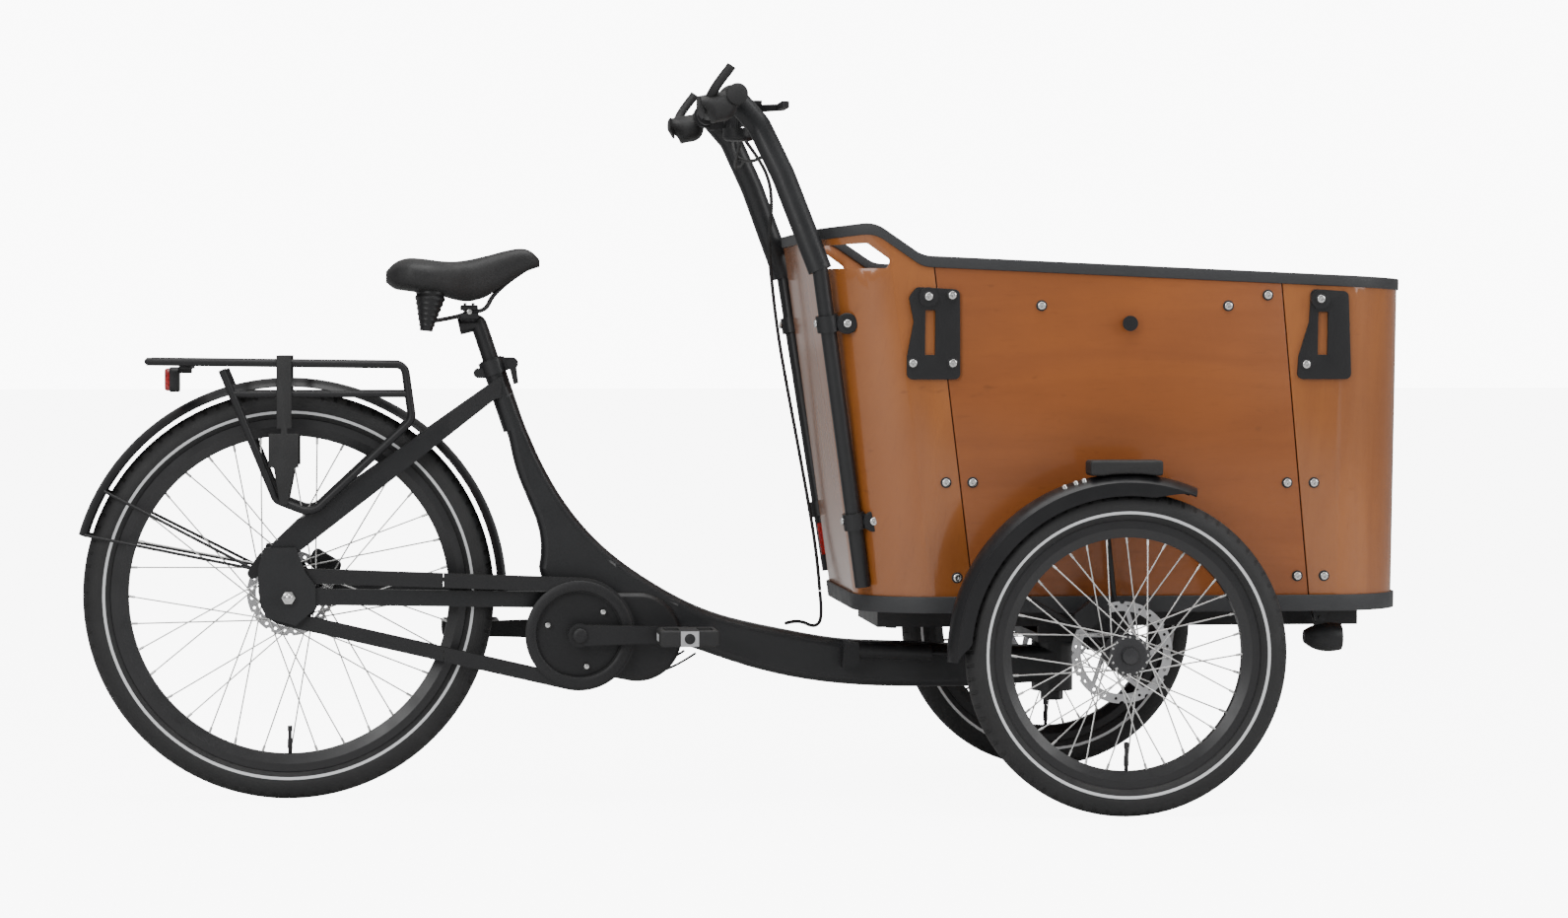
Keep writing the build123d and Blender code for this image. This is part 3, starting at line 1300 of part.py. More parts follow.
with BuildPart() as bell:
    with BuildSketch(side_plane(-190)):
        with Locations((BAR_X, BAR_Z)):
            Circle(16)
            Circle(BAR_RADIUS, mode=Mode.SUBTRACT)
    extrude(amount=-18)
    with BuildSketch(Plane.XY.offset(BAR_Z - 46)):
        with Locations((BAR_X + 18, -181)):
            Circle(5)
    extrude(amount=34)
    with BuildSketch(Plane.XY.offset(BAR_Z - 64)):
        with Locations((BAR_X + 18, -181)):
            Circle(25)
    extrude(amount=20)
    fillet(bell.edges().filter_by(GeomType.CIRCLE).sort_by(Axis.Z)[0:1], 8)
save(bell.part, "bell")

# ---------------------------------------------------------------- lamp, reflector, cables
LAMP_X = 912.0
LAMP_Y = -235.0
LAMP_PIVOT_Z = 298.0
with BuildPart() as lamp_bracket:
    with BuildSketch(Plane.XY.offset(BOX_BOTTOM_Z - 12)):
        with Locations((LAMP_X, (LAMP_Y - 14 - RAIL_Y - RAIL_HALF_WIDTH) / 2)):
            Rectangle(24, -LAMP_Y + 14 - RAIL_Y - RAIL_HALF_WIDTH)
    extrude(amount=5)
    for y in (LAMP_Y + 10, LAMP_Y - 6):
        with BuildSketch(side_plane(y)):
            Polygon(
                (LAMP_X - 7, LAMP_PIVOT_Z - 5), (LAMP_X + 7, LAMP_PIVOT_Z - 5),
                (LAMP_X + 12, BOX_BOTTOM_Z - 9), (LAMP_X - 12, BOX_BOTTOM_Z - 9), align=None,
            )
        extrude(amount=4)
    with BuildSketch(side_plane(LAMP_Y + 14)):
        with Locations((LAMP_X, LAMP_PIVOT_Z)):
            Circle(3)
    extrude(amount=28)
save_set([chassis.part, lamp_bracket.part], "front_chassis")

with BuildPart() as headlight:
    with BuildSketch(Plane.YZ.offset(LAMP_X - 24)):
        with Locations((LAMP_Y, LAMP_PIVOT_Z - 30)):
            Circle(10)
    with BuildSketch(Plane.YZ.offset(LAMP_X - 8)):
        with Locations((LAMP_Y, LAMP_PIVOT_Z - 31)):
            Circle(19)
    with BuildSketch(Plane.YZ.offset(LAMP_X + 36)):
        with Locations((LAMP_Y, LAMP_PIVOT_Z - 31)):
            Circle(21)
    loft()
    with BuildSketch(side_plane(LAMP_Y + 5)):
        with Locations((LAMP_X, LAMP_PIVOT_Z)):
            Circle(7)
        Polygon(
            (LAMP_X - 7, LAMP_PIVOT_Z), (LAMP_X + 7, LAMP_PIVOT_Z), (LAMP_X + 7, LAMP_PIVOT_Z - 16),
            (LAMP_X - 7, LAMP_PIVOT_Z - 16), align=None,
        )
    extrude(amount=10)
    with BuildSketch(side_plane(LAMP_Y + 6)):
        with Locations((LAMP_X, LAMP_PIVOT_Z)):
            Circle(3 + RUNNING)
    extrude(amount=12, mode=Mode.SUBTRACT)
save(headlight.part, "headlight")

left_up = Vector(post_up.X, -post_up.Y, post_up.Z)
left_across = (Vector(1, 0, 0) - left_up * left_up.X).normalized()
inward = left_across.cross(left_up)
reflector_at = Vector(post_point(405).X, -post_point(405).Y, 405) + inward * POST_RADIUS - left_across * 5
with BuildPart() as reflector:
    with BuildSketch(Plane(origin=reflector_at, x_dir=left_across, z_dir=inward)):
        RectangleRounded(13, 54, 3)
    extrude(amount=4)
save(reflector.part, "reflector")

CABLE_RADIUS = 3.0
cable_points = [
    (16, 212, 1092), (50, 225, 1040), (64, 236, 975), (56, 252, 890), (88, 250, 700), (124, 236, 520),
    (148, 214, 382), (156, 196, 320),
]
save(round_tube(cable_points, [30, 60, 60, 200, 200, 120], CABLE_RADIUS), "control_cable")
loop_points = [(156.4, 195, 318), (160, 180, 272), (140, 120, 262), (104, 40, 290), (80, 6, 278)]
save(round_tube(loop_points, [22, 40, 30], CABLE_RADIUS), "cable_loop")
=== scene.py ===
"""The looks of a three-wheeled cargo bicycle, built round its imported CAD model.

Each sub-assembly is a class. Its fields are its sizes in metres, and its methods model its pieces, dress
them in a finish and hang them on the CAD body that they move with. X is forward, Y is to the rider's left
and Z is up.
"""

import json
import logging
import math
from collections.abc import Callable, Iterator, Sequence
from contextlib import contextmanager
from dataclasses import dataclass
from enum import Enum

import bpy
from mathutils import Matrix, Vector

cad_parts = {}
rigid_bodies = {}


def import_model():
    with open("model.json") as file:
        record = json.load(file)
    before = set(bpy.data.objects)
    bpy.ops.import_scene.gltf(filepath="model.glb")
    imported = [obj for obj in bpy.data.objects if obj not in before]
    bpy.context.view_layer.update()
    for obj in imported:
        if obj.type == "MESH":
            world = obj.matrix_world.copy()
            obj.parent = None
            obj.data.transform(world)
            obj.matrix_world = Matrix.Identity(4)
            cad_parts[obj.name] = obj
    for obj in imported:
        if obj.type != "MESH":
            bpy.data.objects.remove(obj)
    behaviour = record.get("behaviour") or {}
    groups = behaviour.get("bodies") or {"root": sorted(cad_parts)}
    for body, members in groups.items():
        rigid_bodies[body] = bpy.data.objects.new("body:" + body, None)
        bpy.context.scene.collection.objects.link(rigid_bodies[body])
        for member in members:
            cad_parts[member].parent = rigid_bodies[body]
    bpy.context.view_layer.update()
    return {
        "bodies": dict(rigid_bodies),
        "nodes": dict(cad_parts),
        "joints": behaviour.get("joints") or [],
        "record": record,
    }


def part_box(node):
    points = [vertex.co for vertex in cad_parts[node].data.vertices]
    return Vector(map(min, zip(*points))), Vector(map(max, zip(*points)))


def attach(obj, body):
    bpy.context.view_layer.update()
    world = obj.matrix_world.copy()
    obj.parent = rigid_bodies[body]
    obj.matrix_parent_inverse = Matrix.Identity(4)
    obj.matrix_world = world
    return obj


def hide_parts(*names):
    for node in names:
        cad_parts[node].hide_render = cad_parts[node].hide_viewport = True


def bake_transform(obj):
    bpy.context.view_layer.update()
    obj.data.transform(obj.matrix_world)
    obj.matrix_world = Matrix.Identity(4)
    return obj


log = logging.getLogger("cargo_tricycle")

FACING = 0.9  # how closely a picked face's normal follows a direction
DUST_COLOUR = (0.32, 0.30, 0.27, 1.0)
FRONT_AXLE = (0.573, 0.385, 0.253)  # the left front wheel's centre

Colour = tuple[float, float, float]
Point = tuple[float, float, float]
Pair = tuple[float, float]
Piece = bpy.types.Object
Material = bpy.types.Material
Node = bpy.types.Node
Socket = bpy.types.NodeSocket


class Side(Enum):
    """The two sides of the bicycle, with their sign along Y."""

    RIGHT = -1
    LEFT = 1

    @property
    def word(self) -> str:
        """The side's name as the CAD nodes and bodies spell it."""
        return self.name.lower()


class Body(Enum):
    """The CAD bodies that pieces ride on."""

    FRAME = "rear_frame"
    SEAT = "seat"
    REAR_WHEEL = "rear_wheel"
    CRANKS = "cranks"
    RIGHT_PEDAL = "right_pedal"
    LEFT_PEDAL = "left_pedal"
    CARRIAGE = "front_carriage"
    LEFT_WHEEL = "front_wheel_left"
    RIGHT_WHEEL = "front_wheel_right"
    LAMP = "lamp"


# ---------------------------------------------------------------- node trees


class Sheet:
    """One node tree, with short calls that add nodes and join their sockets."""

    def __init__(self, tree: bpy.types.NodeTree) -> None:
        """Takes the tree and clears it."""
        self.tree = tree
        self.tree.nodes.clear()
        self.column = 0

    def add(self, kind: str, **settings: object) -> Node:
        """Adds a node.

        Args:
            kind: the node's type, such as ShaderNodeTexNoise.
            settings: properties of the node by name; a name in capitals is an input with spaces for
                underscores, and takes a number, a colour or another node's socket.

        Returns:
            The node.
        """
        node = self.tree.nodes.new(kind)
        node.location = (self.column * 190, 0)
        self.column += 1
        for name, value in settings.items():
            if not name[0].isupper():
                setattr(node, name, value)
                continue
            socket = self.socket_of(node, name)
            if isinstance(value, bpy.types.NodeSocket):
                self.tree.links.new(value, socket)
            else:
                socket.default_value = value
        return node

    @staticmethod
    def socket_of(node: Node, name: str) -> Socket:
        """The node's input with that name, or at that place for a name such as In1."""
        if name.startswith("In") and name[2:].isdigit():
            return node.inputs[int(name[2:])]
        return node.inputs[name.replace("_", " ")]

    def join(self, value: Socket, node: Node, name: str) -> None:
        """Joins a socket to a node's input."""
        self.tree.links.new(value, node.inputs[name])

    def math(self, operation: str, first: object, second: object = 0.0) -> Socket:
        """Adds a Math node and gives its result.

        Args:
            operation: what it works out.
            first: a number or a socket.
            second: a number or a socket.

        Returns:
            The result's socket.
        """
        return self.add("ShaderNodeMath", operation=operation, In0=first, In1=second).outputs[0]

    def ramp(self, factor: Socket, low: float, high: float, start: float = 0.0, end: float = 1.0) -> Socket:
        """Maps a value from low..high to start..end, held at both ends."""
        limits = {"From_Min": low, "From_Max": high, "To_Min": start, "To_Max": end}
        return self.add("ShaderNodeMapRange", Value=factor, **limits).outputs[0]

    def blend(self, factor: object, first: object, second: object, mode: str = "MIX") -> Socket:
        """Mixes two colours by a factor and gives the result."""
        node = self.add("ShaderNodeMix", data_type="RGBA", blend_type=mode)
        for place, value in ((0, factor), (6, first), (7, second)):
            if isinstance(value, bpy.types.NodeSocket):
                self.tree.links.new(value, node.inputs[place])
            else:
                node.inputs[place].default_value = value
        return node.outputs[2]

    def place(self, offset: Point = (0, 0, 0), scale: Point = (1, 1, 1)) -> Socket:
        """Object coordinates, moved and stretched."""
        coords = self.add("ShaderNodeTexCoord").outputs["Object"]
        return self.add("ShaderNodeMapping", Vector=coords, Location=offset, Scale=scale).outputs[0]


def rgba(colour: Colour) -> tuple[float, float, float, float]:
    """The colour with full cover."""
    return (*colour, 1.0)


def shade(colour: Colour, by: float) -> tuple[float, float, float, float]:
    """The colour made darker or lighter by a factor."""
    return rgba(tuple(min(1.0, part * by) for part in colour))


class Effect(Enum):
    """Surface effects that several finishes share, each a node group."""

    FINE_GRAIN = "fine_grain"
    CLOUDS = "clouds"
    DUST = "settled_dust"
    WOOD = "wood_figure"
    ROUND_AXLE = "round_an_axle"


class Effects:
    """Builds each shared node group once."""

    def __init__(self) -> None:
        """Makes every group."""
        self.groups: dict[Effect, bpy.types.NodeTree] = {}
        for effect, build in (
            (Effect.FINE_GRAIN, self.fine_grain),
            (Effect.CLOUDS, self.clouds),
            (Effect.DUST, self.dust),
            (Effect.WOOD, self.wood),
            (Effect.ROUND_AXLE, self.round_axle),
        ):
            self.groups[effect] = build(effect.value)

    @staticmethod
    def new(
        name: str, inputs: Sequence[tuple[str, float]], outputs: Sequence[str]
    ) -> tuple[Sheet, Node, Node]:
        """Starts a group.

        Args:
            name: the group's name.
            inputs: the names and starting values of its inputs.
            outputs: the names of its outputs.

        Returns:
            Its sheet, its input node and its output node.
        """
        tree = bpy.data.node_groups.new(name, "ShaderNodeTree")
        for word, value in inputs:
            socket = tree.interface.new_socket(word, in_out="INPUT", socket_type="NodeSocketFloat")
            socket.default_value = value
        for word in outputs:
            tree.interface.new_socket(word, in_out="OUTPUT", socket_type="NodeSocketFloat")
        sheet = Sheet(tree)
        return sheet, sheet.add("NodeGroupInput"), sheet.add("NodeGroupOutput")

    def fine_grain(self, name: str) -> bpy.types.NodeTree:
        """The close texture of moulded and painted surfaces, as a height."""
        sheet, given, out = self.new(name, [("Scale", 900.0)], ["Height"])
        coarse = sheet.add("ShaderNodeTexVoronoi", Vector=sheet.place(), Scale=given.outputs["Scale"])
        wide = sheet.math("MULTIPLY", given.outputs["Scale"], 0.4)
        fine = sheet.add("ShaderNodeTexNoise", Vector=sheet.place(), Scale=wide, Detail=3.0)
        total = sheet.math("ADD", coarse.outputs["Distance"], fine.outputs["Fac"])
        sheet.join(total, out, "Height")
        return sheet.tree

    def clouds(self, name: str) -> bpy.types.NodeTree:
        """Soft uneven patches, from 0 to 1."""
        sheet, given, out = self.new(name, [("Scale", 6.0), ("Contrast", 1.0)], ["Mask"])
        scale = given.outputs["Scale"]
        noise = sheet.add("ShaderNodeTexNoise", Vector=sheet.place(), Scale=scale, Detail=5.0)
        centred = sheet.math("SUBTRACT", noise.outputs["Fac"], 0.5)
        swing = sheet.math("MULTIPLY", centred, given.outputs["Contrast"])
        level = sheet.add("ShaderNodeMath", operation="ADD", use_clamp=True, In0=swing, In1=0.5)
        sheet.join(level.outputs[0], out, "Mask")
        return sheet.tree

    def dust(self, name: str) -> bpy.types.NodeTree:
        """Dust that has settled on what faces up."""
        sheet, given, out = self.new(name, [("Amount", 0.2)], ["Mask"])
        normal = sheet.add("ShaderNodeNewGeometry")
        split = sheet.add("ShaderNodeSeparateXYZ", Vector=normal.outputs["Normal"])
        up = sheet.ramp(split.outputs["Z"], 0.35, 1.0)
        noise = sheet.add("ShaderNodeTexNoise", Vector=sheet.place(), Scale=38.0, Detail=6.0)
        spots = sheet.ramp(noise.outputs["Fac"], 0.4, 0.75)
        mask = sheet.math("MULTIPLY", sheet.math("MULTIPLY", up, spots), given.outputs["Amount"])
        sheet.join(mask, out, "Mask")
        return sheet.tree

    def wood(self, name: str) -> bpy.types.NodeTree:
        """Veneer figure with its grain along Z, and the pores in it."""
        sheet, given, out = self.new(name, [("Turn", 0.0)], ["Figure", "Pores"])
        split = sheet.add("ShaderNodeSeparateXYZ", Vector=sheet.place())
        across = sheet.math("ADD", split.outputs["X"], split.outputs["Y"])
        level = sheet.blend(given.outputs["Turn"], (0, 0, 0, 1), (1, 1, 1, 1))
        keep = sheet.add("ShaderNodeSeparateXYZ", Vector=level)
        swap = keep.outputs["X"]
        straight = sheet.math("SUBTRACT", 1.0, swap)
        along = sheet.math(
            "ADD",
            sheet.math("MULTIPLY", split.outputs["Z"], straight),
            sheet.math("MULTIPLY", across, swap),
        )
        wide = sheet.math(
            "ADD",
            sheet.math("MULTIPLY", across, straight),
            sheet.math("MULTIPLY", split.outputs["Z"], swap),
        )
        vector = sheet.add("ShaderNodeCombineXYZ", X=sheet.math("MULTIPLY", along, 0.13), Y=wide, Z=0.0)
        lines = vector.outputs[0]
        noise = sheet.add("ShaderNodeTexNoise", Vector=lines, Scale=17.0, Detail=7.0, Distortion=0.9)
        fine = sheet.add("ShaderNodeTexNoise", Vector=lines, Scale=210.0, Detail=2.0)
        sheet.join(noise.outputs["Fac"], out, "Figure")
        sheet.join(fine.outputs["Fac"], out, "Pores")
        return sheet.tree

    def round_axle(self, name: str) -> bpy.types.NodeTree:
        """The angle and radius of each point about a wheel's axle."""
        sheet, given, out = self.new(name, [("Axle X", 0.0), ("Axle Z", 0.0)], ["Angle", "Radius"])
        split = sheet.add("ShaderNodeSeparateXYZ", Vector=sheet.place())
        run = sheet.math("SUBTRACT", split.outputs["X"], given.outputs["Axle X"])
        rise = sheet.math("SUBTRACT", split.outputs["Z"], given.outputs["Axle Z"])
        sheet.join(sheet.math("ARCTAN2", rise, run), out, "Angle")
        square = sheet.math("ADD", sheet.math("MULTIPLY", run, run), sheet.math("MULTIPLY", rise, rise))
        sheet.join(sheet.math("SQRT", square), out, "Radius")
        return sheet.tree

    def use(self, sheet: Sheet, effect: Effect, **values: object) -> Node:
        """Places a group in a material's sheet with its own values."""
        return sheet.add("ShaderNodeGroup", node_tree=self.groups[effect], **values)


# ---------------------------------------------------------------- finishes


@dataclass(frozen=True)
class Finish:
    """A plain finish: one colour with soft patches, dust and a fine grain."""

    name: str
    slot: str
    colour: Colour
    roughness: float
    metallic: float = 0.0
    grain_scale: float = 900.0
    grain_depth: float = 0.00002
    patches: float = 0.12
    dust: float = 0.06
    coat: float = 0.0
    specular: float = 0.5

    def start(self) -> tuple[Material, Sheet, Node]:
        """Starts the material.

        Returns:
            The material, its sheet and its Principled node, already joined to the output.
        """
        material = bpy.data.materials.new(self.name)
        material.use_nodes = True
        sheet = Sheet(material.node_tree)
        shader = sheet.add("ShaderNodeBsdfPrincipled")
        shader.inputs["Roughness"].default_value = self.roughness
        shader.inputs["Metallic"].default_value = self.metallic
        shader.inputs["Coat Weight"].default_value = self.coat
        shader.inputs["Coat Roughness"].default_value = 0.12
        shader.inputs["Specular IOR Level"].default_value = self.specular
        out = sheet.add("ShaderNodeOutputMaterial")
        sheet.join(shader.outputs[0], out, "Surface")
        return material, sheet, shader

    def bump(self, sheet: Sheet, shader: Node, height: Socket, depth: float) -> None:
        """Joins a height to the shader as a bump so deep."""
        bump = sheet.add("ShaderNodeBump", Height=height, Distance=depth, Strength=1.0)
        sheet.join(bump.outputs[0], shader, "Normal")

    def body_colour(self, sheet: Sheet, effects: Effects) -> Socket:
        """The finish's colour with its patches and dust."""
        clouds = effects.use(sheet, Effect.CLOUDS, Scale=9.0, Contrast=1.6).outputs["Mask"]
        low, high = shade(self.colour, 1 - self.patches), shade(self.colour, 1 + self.patches)
        base = sheet.blend(clouds, low, high)
        dusty = effects.use(sheet, Effect.DUST, Amount=self.dust).outputs["Mask"]
        return sheet.blend(dusty, base, DUST_COLOUR)

    def wear(self, sheet: Sheet, shader: Node, effects: Effects) -> None:
        """Varies the roughness in small patches."""
        clouds = effects.use(sheet, Effect.CLOUDS, Scale=26.0, Contrast=1.8).outputs["Mask"]
        low, high = max(0.02, self.roughness - 0.07), min(1.0, self.roughness + 0.08)
        rough = sheet.ramp(clouds, 0.0, 1.0, low, high)
        sheet.join(rough, shader, "Roughness")

    def build(self, effects: Effects) -> Material:
        """Makes the material."""
        material, sheet, shader = self.start()
        sheet.join(self.body_colour(sheet, effects), shader, "Base Color")
        self.wear(sheet, shader, effects)
        grain = effects.use(sheet, Effect.FINE_GRAIN, Scale=self.grain_scale).outputs["Height"]
        self.bump(sheet, shader, grain, self.grain_depth)
        return material


@dataclass(frozen=True)
class Plywood(Finish):
    """Stained veneer with its figure upright or along the box."""

    dark: Colour = (0.16, 0.045, 0.012)
    lying: bool = False

    def build(self, effects: Effects) -> Material:
        """Makes the material."""
        material, sheet, shader = self.start()
        wood = effects.use(sheet, Effect.WOOD, Turn=1.0 if self.lying else 0.0)
        figure = sheet.ramp(wood.outputs["Figure"], 0.32, 0.68)
        base = sheet.blend(figure, rgba(self.dark), rgba(self.colour))
        pores = sheet.ramp(wood.outputs["Pores"], 0.58, 0.8)
        lined = sheet.blend(sheet.math("MULTIPLY", pores, 0.28), base, shade(self.dark, 0.7))
        clouds = effects.use(sheet, Effect.CLOUDS, Scale=4.5, Contrast=2.2).outputs["Mask"]
        patchy = sheet.blend(clouds, shade((1, 1, 1), 0.82), (1, 1, 1, 1))
        stained = sheet.blend(1.0, lined, patchy, "MULTIPLY")
        knots = sheet.add("ShaderNodeTexNoise", Vector=sheet.place(scale=(1, 1, 2.4)), Scale=21.0, Detail=2.0)
        marks = sheet.ramp(knots.outputs["Fac"], 0.70, 0.78)
        knotty = sheet.blend(sheet.math("MULTIPLY", marks, 0.45), stained, shade(self.dark, 0.55))
        sheet.join(knotty, shader, "Base Color")
        rough = sheet.ramp(figure, 0.0, 1.0, self.roughness + 0.06, self.roughness - 0.05)
        sheet.join(rough, shader, "Roughness")
        self.bump(sheet, shader, sheet.math("ADD", wood.outputs["Pores"], figure), self.grain_depth)
        return material


@dataclass(frozen=True)
class TyreRubber(Finish):
    """Rubber with blocks cut in the tread and fine ribs on the walls, with painted shade in the tread
    grooves.
    """

    axle_x: float = 0.0
    axle_y: float = 0.0
    radius: float = 0.33
    blocks: int = 96

    def build(self, effects: Effects) -> Material:
        """Makes the material."""
        material, sheet, shader = self.start()
        turned = effects.use(sheet, Effect.ROUND_AXLE, Axle_X=self.axle_x, Axle_Z=self.radius)
        angle, radius = turned.outputs["Angle"], turned.outputs["Radius"]
        split = sheet.add("ShaderNodeSeparateXYZ", Vector=sheet.place(offset=(0, -self.axle_y, 0)))
        offset = sheet.math("ABSOLUTE", split.outputs["Y"])
        lean = sheet.math("MULTIPLY", offset, 26.0)
        phase = sheet.math("ADD", sheet.math("MULTIPLY", angle, float(self.blocks)), lean)
        grooves = sheet.ramp(sheet.math("SINE", phase), 0.55, 0.8)
        centre = sheet.ramp(offset, 0.0035, 0.005)
        on_tread = sheet.ramp(radius, self.radius - 0.011, self.radius - 0.008)
        rings = sheet.ramp(sheet.math("SINE", sheet.math("MULTIPLY", radius, 1900.0)), 0.2, 0.9)
        cut = sheet.math("MULTIPLY", sheet.math("MULTIPLY", grooves, centre), on_tread)
        off_tread = sheet.math("SUBTRACT", 1.0, on_tread)
        wall = sheet.math("MULTIPLY", off_tread, sheet.math("MULTIPLY", rings, 0.10))
        base = self.body_colour(sheet, effects)
        # Painted shade: the groove mask darkens the rubber in the tread grooves to 0.35 of its colour, and
        # the same mask sinks them as a bump.
        sheet.join(sheet.blend(cut, base, shade(self.colour, 0.35)), shader, "Base Color")
        self.wear(sheet, shader, effects)
        height = sheet.math("SUBTRACT", sheet.math("SUBTRACT", 1.0, cut), wall)
        self.bump(sheet, shader, height, 0.0012)
        return material


@dataclass(frozen=True)
class HubMetal(Finish):
    """A hub whose shell is black and whose brake disc, inboard of a plane, is bare brushed steel."""

    disc_y: float = 0.347
    disc_half: float = 0.0022
    axle_x: float = 0.573
    axle_z: float = 0.253

    def build(self, effects: Effects) -> Material:
        """Makes the material."""
        material, sheet, shader = self.start()
        turned = effects.use(sheet, Effect.ROUND_AXLE, Axle_X=self.axle_x, Axle_Z=self.axle_z)
        split = sheet.add("ShaderNodeSeparateXYZ", Vector=sheet.place(offset=(0, -self.disc_y, 0)))
        near = sheet.math("LESS_THAN", sheet.math("ABSOLUTE", split.outputs["Y"]), self.disc_half)
        outside = sheet.math("GREATER_THAN", turned.outputs["Radius"], 0.0202)
        disc = sheet.math("MULTIPLY", near, outside)
        rings = sheet.math("SINE", sheet.math("MULTIPLY", turned.outputs["Radius"], 5200.0))
        steel = sheet.blend(sheet.ramp(rings, -1.0, 1.0), (0.40, 0.40, 0.41, 1), (0.62, 0.62, 0.63, 1))
        shell = self.body_colour(sheet, effects)
        sheet.join(sheet.blend(disc, shell, steel), shader, "Base Color")
        sheet.join(disc, shader, "Metallic")
        sheet.join(sheet.ramp(disc, 0, 1, self.roughness, 0.3), shader, "Roughness")
        self.bump(sheet, shader, sheet.math("MULTIPLY", rings, disc), 0.00002)
        return material


@dataclass(frozen=True)
class SaddleSkin(Finish):
    """Soft vinyl with a pebbled grain."""

    def build(self, effects: Effects) -> Material:
        """Makes the material."""
        material, sheet, shader = self.start()
        sheet.join(self.body_colour(sheet, effects), shader, "Base Color")
        self.wear(sheet, shader, effects)
        pebbles = sheet.add("ShaderNodeTexVoronoi", feature="SMOOTH_F1", Vector=sheet.place(), Scale=640.0)
        wrinkles = sheet.add("ShaderNodeTexNoise", Vector=sheet.place(), Scale=120.0, Detail=3.0)
        creases = sheet.math("MULTIPLY", wrinkles.outputs["Fac"], 0.6)
        height = sheet.math("ADD", pebbles.outputs["Distance"], creases)
        self.bump(sheet, shader, height, 0.0004)
        return material


@dataclass(frozen=True)
class RedLens(Finish):
    """Clear red plastic with moulded prisms behind it."""

    def build(self, effects: Effects) -> Material:
        """Makes the material."""
        material, sheet, shader = self.start()
        prisms = sheet.add("ShaderNodeTexVoronoi", distance="CHEBYCHEV", Vector=sheet.place(), Scale=330.0)
        cells = sheet.ramp(prisms.outputs["Distance"], 0.1, 0.6)
        colour = sheet.blend(cells, rgba(self.colour), shade(self.colour, 0.45))
        sheet.join(colour, shader, "Base Color")
        self.bump(sheet, shader, prisms.outputs["Distance"], 0.0006)
        return material


@dataclass(frozen=True)
class LampGlass(Finish):
    """A clear lamp lens with upright flutes."""

    def build(self, effects: Effects) -> Material:
        """Makes the material."""
        material, sheet, shader = self.start()
        shader.inputs["Transmission Weight"].default_value = 0.75
        shader.inputs["IOR"].default_value = 1.5
        split = sheet.add("ShaderNodeSeparateXYZ", Vector=sheet.place())
        flutes = sheet.math("SINE", sheet.math("MULTIPLY", split.outputs["Y"], 1800.0))
        tint = sheet.blend(sheet.ramp(flutes, -1, 1), rgba(self.colour), shade(self.colour, 0.8))
        sheet.join(tint, shader, "Base Color")
        self.bump(sheet, shader, flutes, 0.0004)
        return material


# ---------------------------------------------------------------- modelling


def only(piece: Piece) -> None:
    """Selects this piece and nothing else."""
    bpy.ops.object.select_all(action="DESELECT")
    piece.select_set(True)
    bpy.context.view_layer.objects.active = piece


def settle(piece: Piece) -> None:
    """Moves the piece's place, turn and size into its mesh."""
    only(piece)
    bpy.ops.object.transform_apply(location=True, rotation=True, scale=True)


@contextmanager
def editing(piece: Piece, kind: str = "FACE") -> Iterator[None]:
    """Opens the piece in edit mode with nothing selected, and closes it after."""
    only(piece)
    bpy.ops.object.mode_set(mode="EDIT")
    bpy.ops.mesh.select_mode(type=kind)
    bpy.ops.mesh.select_all(action="DESELECT")
    try:
        yield
    finally:
        bpy.ops.object.mode_set(mode="OBJECT")


def pick(piece: Piece, test: Callable[[Vector, Vector], bool]) -> None:
    """Selects the faces that pass a test, in edit mode.

    Args:
        piece: the piece that is open.
        test: takes a face's middle and its normal, and says whether it is picked.
    """
    bpy.ops.object.mode_set(mode="OBJECT")
    for face in piece.data.polygons:
        face.select = test(face.center, face.normal)
    bpy.ops.object.mode_set(mode="EDIT")


def block(name: str, centre: Point, size: Point) -> Piece:
    """Adds a box at its place and size."""
    bpy.ops.mesh.primitive_cube_add(size=1, location=centre)
    piece = bpy.context.object
    piece.name = name
    piece.scale = size
    settle(piece)
    return piece


def rod(name: str, centre: Point, toward: Point, radius: float, length: float, sides: int = 32) -> Piece:
    """Adds a cylinder.

    Args:
        name: the piece's name.
        centre: its middle.
        toward: the direction of its axis.
        radius: its radius.
        length: its length along the axis.
        sides: how many sides it has.

    Returns:
        The piece.
    """
    turn = Vector(toward).to_track_quat("Z", "Y").to_euler()
    bpy.ops.mesh.primitive_cylinder_add(
        vertices=sides, radius=radius, depth=length, location=centre, rotation=turn
    )
    piece = bpy.context.object
    piece.name = name
    settle(piece)
    return piece


def round_over(piece: Piece, width: float, segments: int = 3, angle: float = 35.0) -> Piece:
    """Rounds the piece's sharp edges and shades it smooth."""
    only(piece)
    bevel = piece.modifiers.new("edges", "BEVEL")
    bevel.width = width
    bevel.segments = segments
    bevel.limit_method = "ANGLE"
    bevel.angle_limit = math.radians(angle)
    bevel.harden_normals = False
    bpy.ops.object.modifier_apply(modifier=bevel.name)
    bpy.ops.object.shade_smooth_by_angle(angle=math.radians(32))
    return piece


